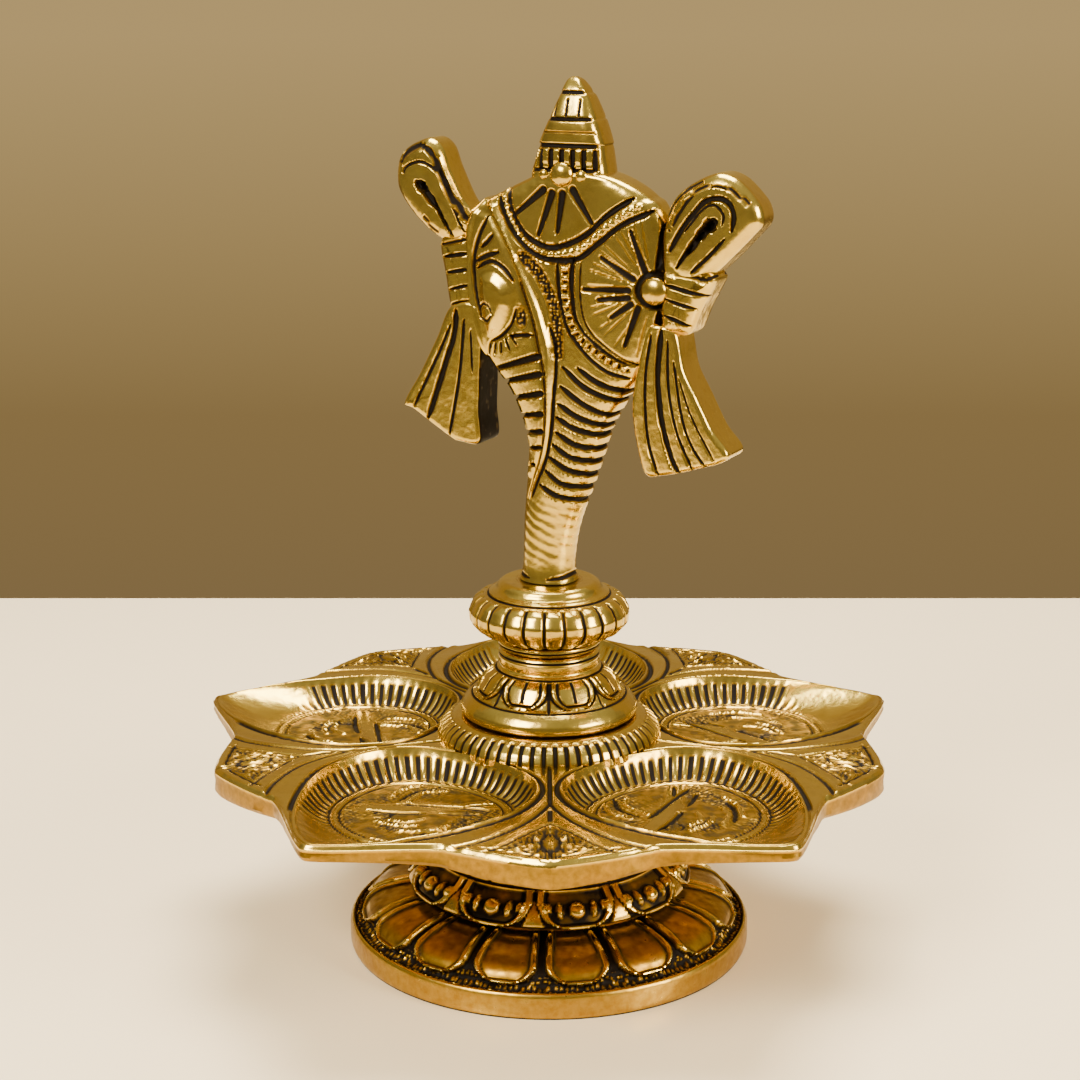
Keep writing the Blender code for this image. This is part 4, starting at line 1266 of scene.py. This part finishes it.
# %% Ribbon plates
def plate(name, outline, middle, half, carve, edge=1.0, dark_from=None, columns=270,
          face_rows=42):
    """Pillow over a closed outline: two faces at ±half, joined by a quarter round of
    radius edge, a straight wall and another quarter round. The wall is left black where x
    is past dark_from."""
    rim, _ = walk(curve(outline, True, 8), 0.05)
    rim_run = np.linspace(0, len(rim) - 1, columns, endpoint=False)
    rim = np.stack([np.interp(rim_run, np.arange(len(rim)), rim[:, k]) for k in range(2)], -1)
    ray = rim - np.array(middle)
    reach = np.linalg.norm(ray, axis=1, keepdims=True)
    unit = ray / reach
    tangent = np.roll(rim, -1, 0) - np.roll(rim, 1, 0)
    normal = np.stack([tangent[:, 1], -tangent[:, 0]], -1)
    normal /= np.linalg.norm(normal, axis=1, keepdims=True)
    normal *= np.sign(np.sum(normal * unit))
    inner = rim - normal * edge
    spread = np.linspace(0.02, 1, face_rows)[:, None, None]
    face = np.array(middle) + spread * (inner - np.array(middle))
    bend = np.linspace(0, math.pi / 2, 7)[1:, None, None]
    round_edge = inner + normal * edge * np.sin(bend)
    wall = np.linspace(half - edge, 0, 10)[1:]
    flat = np.vstack([face, round_edge, np.repeat(rim[None], len(wall), 0)])
    depth = np.concatenate([np.full(face_rows, half),
                            half - edge + edge * np.cos(bend[:, 0, 0]), wall])
    flat = np.vstack([flat, flat[-2::-1]])
    depth = np.concatenate([depth, -depth[-2::-1]])
    relief = carve(flat[..., 0], flat[..., 1])
    on_wall = np.clip(np.abs(depth) / (half - edge), 0, 1)[:, None] ** 3
    height = relief.height * on_wall
    cover = (relief.lacquer + 0.8 * hollows(relief.height, 4)) * on_wall
    if dark_from is not None:
        grey = 0.65 + 0.5 * blotches(flat[..., 1] / 1.1, depth[:, None] + 20 + 0 * flat[..., 1])
        on_side = np.abs(depth)[:, None] < half - 0.4 * edge
        side = smooth((flat[..., 0] - dark_from) / 0.4) * on_side
        cover = np.maximum(cover, grey * side)
    lean = np.sign(depth)[:, None] * height
    grid = np.stack([flat[..., 0], -(depth[:, None] + lean), flat[..., 1]], -1)
    return skin(name, face_turn(grid), cover, "finial", "conch_finial")


def pleats(lines, swell=()):
    """A carving function that cuts every (half, depth, points...) line, and raises an oval
    swell (x, y, size x, size y, rise) first."""
    def carve(x, y):
        relief = Relief(x, y)
        for cx, cy, sx, sy, rise in swell:
            relief.height += rise * dome(x, y, (cx, cy), (sx, sy))
        for half, depth, *points in lines:
            relief.groove(points, half, depth)
        return relief
    return carve


print("a ribbon plate: two faces, two rounded edges and a wall")

# %% Outlines and pleats of the ribbons
RIGHT_BOW = [(25.2, 140.5), (25.2, 148.6), (27.4, 154.6), (30.5, 157.4), (33.8, 159.2),
             (36.8, 159.9), (39.8, 158.9), (42.5, 156.6), (44.6, 154), (45.0, 151), (42.8, 148.2),
             (37.4, 142.7), (33.7, 139.7), (29, 138)]
LEFT_BOW = [(-14.6, 148.6), (-17.6, 153), (-20.4, 158.6), (-22, 162.6), (-24.4, 164.3),
            (-27.2, 163.6), (-30, 162), (-31.5, 160), (-32.0, 156.7), (-31.3, 153.4),
            (-27.5, 148.6), (-22, 144.6), (-17, 144.6)]
RIGHT_TAIL = [(22.5, 130), (20.5, 122), (19.7, 116.7), (19.8, 112.2), (21, 106), (22.7, 101.5),
              (25.9, 101.6), (32.3, 103.3), (39.6, 106.4), (36.2, 111.5), (32.9, 117.6),
              (30.2, 122.7), (28.6, 129.6), (25.6, 131)]
LEFT_TAIL = [(-19.5, 131.8), (-23.1, 125), (-27, 117.6), (-30.6, 111.4), (-28.2, 110.0),
             (-20.5, 105.3), (-17.9, 104.4), (-13.4, 104.6), (-13.6, 110.8), (-13.4, 117),
             (-13.2, 131.4)]
RIGHT_KNOT = [(25.0, 133), (25.2, 140.6), (27.4, 142.0), (31, 141.9), (35.9, 140.8), (35, 137.6),
              (33.3, 134.4), (31.2, 129.7), (28.4, 129.0), (25.8, 129.6)]
LEFT_KNOT = [(-22.4, 144.2), (-19.6, 145.8), (-16.6, 146.0), (-14.8, 143.6), (-14.6, 138),
             (-15.0, 132), (-16.6, 130.2), (-20.0, 130.9), (-21.4, 137.6)]
# each pleat: half width, depth, then its points
RIGHT_BOW_LINES = [
    (0.5, 0.5, (25.4, 148.7), (26.6, 152), (28.4, 154.6), (30.7, 156.8), (33.4, 158.2)),
    (0.46, 0.35, (27.1, 148.8), (29.2, 152.3), (31.2, 155.1), (33.4, 156.9), (36.4, 157.6),
     (39.1, 157.0), (41.5, 155.5), (43.4, 154.3)),
    (0.75, 0.65, (27.1, 144.9), (29.4, 148.9), (31.7, 152), (34.2, 154.6), (36.9, 155.3),
     (39.0, 154.4), (39.9, 152.2), (39.6, 149.4)),
    (0.38, 0.35, (30.3, 148.9), (33.1, 152.5), (34.9, 153.9), (36.5, 153.9), (37.9, 152.3),
     (37.7, 150.4)),
    (1.7, 1.5, (35.9, 150.9), (34.6, 149.6)),
    (1.3, 1.3, (35.2, 150.4), (32.6, 147.6)),
    (1.0, 1.0, (33.4, 148.6), (30.8, 144.8)),
    (0.6, 0.8, (31.4, 146.2), (28.6, 142.0)),
    (0.5, 0.5, (31.6, 141.3), (34.8, 144.2), (38.2, 147.8))]
LEFT_BOW_LINES = [
    (0.8, 0.6, (-30.7, 159.4), (-28.8, 161.8), (-25.9, 162.8), (-23.4, 161.2), (-21.7, 157.6),
     (-19.2, 153.2), (-15.4, 148)),
    (0.42, 0.4, (-29.9, 156.8), (-29.1, 158.6), (-26.2, 159.7), (-23.4, 158.8), (-21.1, 156.5),
     (-19.9, 153.4), (-18.6, 150.5), (-17.4, 147.9), (-16.6, 146.4)),
    (1.5, 1.3, (-26.6, 155.4), (-25.0, 154.6)),
    (1.1, 1.1, (-26.0, 155.2), (-22.4, 151.0)),
    (0.6, 0.9, (-23.4, 153.2), (-20.6, 147.8)),
    (0.5, 0.7, (-21.6, 149.8), (-19, 145.2)),
    (0.4, 0.3, (-25.3, 149.1), (-23.6, 146.9), (-22.3, 145.9))]
RIGHT_TAIL_LINES = [
    (0.45, 0.45, (23.6, 129), (22.6, 122), (22.5, 115), (23.3, 108), (25.3, 101.8)),
    (0.8, 0.75, (25.6, 130), (25.0, 121.4), (25.9, 112.8), (28.0, 105.6), (29.8, 102.2)),
    (0.42, 0.4, (27.0, 128), (27.3, 119), (29.1, 110.6), (32.5, 103.4)),
    (0.42, 0.4, (28.3, 124), (30.0, 114), (32.2, 108.2), (35.2, 104.2)),
    (0.3, 0.25, (29.4, 121), (32.2, 113.6), (36.8, 105.8))]
LEFT_TAIL_LINES = [
    (0.45, 0.45, (-19.6, 128), (-21.6, 123.6), (-24.6, 117.6), (-28.2, 110.8)),
    (0.85, 0.75, (-18.4, 131), (-18.9, 126.1), (-21.0, 119.9), (-25.0, 108.6)),
    (0.5, 0.45, (-16.6, 129), (-17.8, 117.7), (-20.1, 105.8)),
    (0.4, 0.35, (-15.2, 127), (-14.9, 119))]
RIGHT_KNOT_LINES = [
    (0.6, 0.6, (27.6, 141.3), (31.6, 140.7), (34.1, 140.0), (36.6, 141)),
    (0.55, 0.6, (26.6, 138.7), (30.6, 137.8), (34.6, 137)),
    (0.5, 0.55, (26.8, 136), (29.5, 135.2), (32.4, 134.5)),
    (0.55, 0.6, (26.4, 132.8), (29.1, 132), (31.4, 131.1))]
LEFT_KNOT_LINES = [
    (0.6, 0.6, (-21.8, 143.7), (-16.4, 144.9)), (0.55, 0.6, (-21.2, 141.3), (-15.5, 142.3)),
    (0.5, 0.55, (-20.6, 138.2), (-15.7, 139.1)), (0.5, 0.55, (-19.8, 134.9), (-15.8, 136)),
    (0.55, 0.6, (-19.6, 131.9), (-15.6, 132.9))]
# each swell: its middle, its half sizes and its rise
RIGHT_SWELL, LEFT_SWELL = [(35, 150.4, 11, 11, 0.5)], [(-24.5, 154.6, 9, 11, 0.4)]

plate("right_bow", RIGHT_BOW, (34.5, 150), 4.4, pleats(RIGHT_BOW_LINES, RIGHT_SWELL), edge=2.4)
plate("left_bow", LEFT_BOW, (-24, 154.5), 4.4, pleats(LEFT_BOW_LINES, LEFT_SWELL), edge=2.4)
plate("right_tail", RIGHT_TAIL, (26.5, 114.5), 4.6, pleats(RIGHT_TAIL_LINES))
plate("left_tail", LEFT_TAIL, (-19.2, 115), 4.6, pleats(LEFT_TAIL_LINES), dark_from=-14.4)
plate("right_knot", RIGHT_KNOT, (29.5, 136), 5.1, pleats(RIGHT_KNOT_LINES), edge=2.6)
plate("left_knot", LEFT_KNOT, (-18, 138), 4.5, pleats(LEFT_KNOT_LINES), edge=2.2)
print("six ribbon plates")

# %% [markdown]
# ## Table and wall
# The lamp stands on a pale glossy table before a plain brown wall that glows with painted
# light, paler towards the top. None of it belongs to the lamp. The table is small, because
# polished gold would mirror a large one as a broad white patch on every petal.

# %% Table and wall
def sheet(name, corners, material):
    """A flat four-cornered stage surface, with its corners in mm."""
    mesh = bpy.data.meshes.new(name)
    mesh.from_pydata([tuple(c * MM for c in corner) for corner in corners], [], [(0, 1, 2, 3)])
    mesh.materials.append(material)
    made = bpy.data.objects.new(name, mesh)
    bpy.context.collection.objects.link(made)
    return made


def laminate():
    """Cream laminate: smooth and glossy, with no pattern of its own."""
    made, _, shader = new_material("cream_gloss_laminate")
    shader.inputs["Base Color"].default_value = srgb("#F9E5BE")
    shader.inputs["Roughness"].default_value = 0.28
    return made


def wall_with_painted_light():
    """Brown matt wall with painted light: it glows, paler towards the top as painted light from
    above. It gives its own soft light, because it stands far outside the lamps."""
    made, tree, shader = new_material("brown_wall_with_painted_light")
    where = node(tree, "ShaderNodeTexCoord").outputs["Object"]
    height = node(tree, "ShaderNodeSeparateXYZ", [(0, where)]).outputs["Z"]
    share = node(tree, "ShaderNodeMapRange", [(0, height)], in_1=-0.62, in_2=0.12).outputs[0]
    # painted light: the wall's own glow, darker below and paler towards the top as if lit from
    # above
    painted_light = ramp(tree, share, [(0.0, "#7B6542"), (0.45, "#886F42"), (1.0, "#BC9E66")])
    tree.links.new(painted_light, shader.inputs["Emission Color"])
    shader.inputs["Emission Strength"].default_value = 1.0
    shader.inputs["Base Color"].default_value = srgb("#000000")
    shader.inputs["Roughness"].default_value = 1.0
    return made


TABLE_HALF, TABLE_FRONT, TABLE_BACK = 340, -280, 256
WALL_HALF, WALL_BEHIND, WALL_LOW, WALL_HIGH = 4000, 2000, -1600, 3000
sheet("table_top", [(-TABLE_HALF, TABLE_FRONT, 0), (TABLE_HALF, TABLE_FRONT, 0),
                    (TABLE_HALF, TABLE_BACK, 0), (-TABLE_HALF, TABLE_BACK, 0)], laminate())
sheet("back_wall", [(-WALL_HALF, WALL_BEHIND, WALL_LOW), (WALL_HALF, WALL_BEHIND, WALL_LOW),
                    (WALL_HALF, WALL_BEHIND, WALL_HIGH), (-WALL_HALF, WALL_BEHIND, WALL_HIGH)],
      wall_with_painted_light())
print("the table ends", TABLE_BACK, "mm behind the lamp's axis")

# %% [markdown]
# ## Soft light
# Polished gold shows mostly what it mirrors, so the light matters as much as the metal.
# Three big soft panels give long pale highlights, and the brown room between them, which
# grows lighter upwards, gives the deep tone that makes gold look heavy.

# %% Light panels and the room
LAMP_MIDDLE = 80


def panel(name, place, size, power, colour):
    """A square soft light, in mm and watts, that faces the middle of the lamp."""
    light = bpy.data.lights.new(name, "AREA")
    light.shape, light.size, light.energy = "SQUARE", size * MM, power
    light.color = srgb(colour)[:3]
    made = bpy.data.objects.new(name, light)
    bpy.context.collection.objects.link(made)
    made.location = [k * MM for k in place]
    towards = made.location - bpy.data.objects["body:stand"].location
    towards.z -= LAMP_MIDDLE * MM
    made.rotation_euler = towards.to_track_quat("Z", "Y").to_euler()
    return made


panel("key_panel", (-520, -620, 720), 400, 18, "#FFF6E6")
panel("fill_panel", (680, -420, 380), 340, 11, "#FFF1DA")
panel("top_panel", (60, 180, 900), 480, 19, "#FFF8EC")

room = bpy.data.worlds.new("brown_room")
room.use_nodes = True
bpy.context.scene.world = room
sky = room.node_tree
toward = node(sky, "ShaderNodeTexCoord").outputs["Generated"]
rise = node(sky, "ShaderNodeSeparateXYZ", [(0, toward)]).outputs["Z"]
lift = node(sky, "ShaderNodeMapRange", [(0, rise)], in_1=-0.3, in_2=0.9).outputs[0]
sky.links.new(ramp(sky, lift, [(0.0, "#B2A88F"), (0.4, "#978D78"), (1.0, "#E6E1D4")]),
              sky.nodes["Background"].inputs[0])
sky.nodes["Background"].inputs[1].default_value = 0.76

# %% [markdown]
# ## Camera
# The camera stands 44 cm in front of the lamp's axis, as someone about to light it would,
# and looks down a little. A long lens keeps the cups at the front from looking swollen.

# %% Camera
DISTANCE, HEIGHT, TO_RIGHT, LOOKING_DOWN = 440, 198, -1.86, 14.4
camera = bpy.data.objects.new("camera", bpy.data.cameras.new("camera"))
bpy.context.collection.objects.link(camera)
camera.location = (TO_RIGHT * MM, -DISTANCE * MM, HEIGHT * MM)
camera.rotation_euler = (math.radians(90 - LOOKING_DOWN), 0, 0)
camera.data.lens, camera.data.sensor_width = 75.3, 36
camera.data.clip_start = 0.01
bpy.context.scene.camera = camera
print("camera", [round(k / MM) for k in camera.location], "mm")
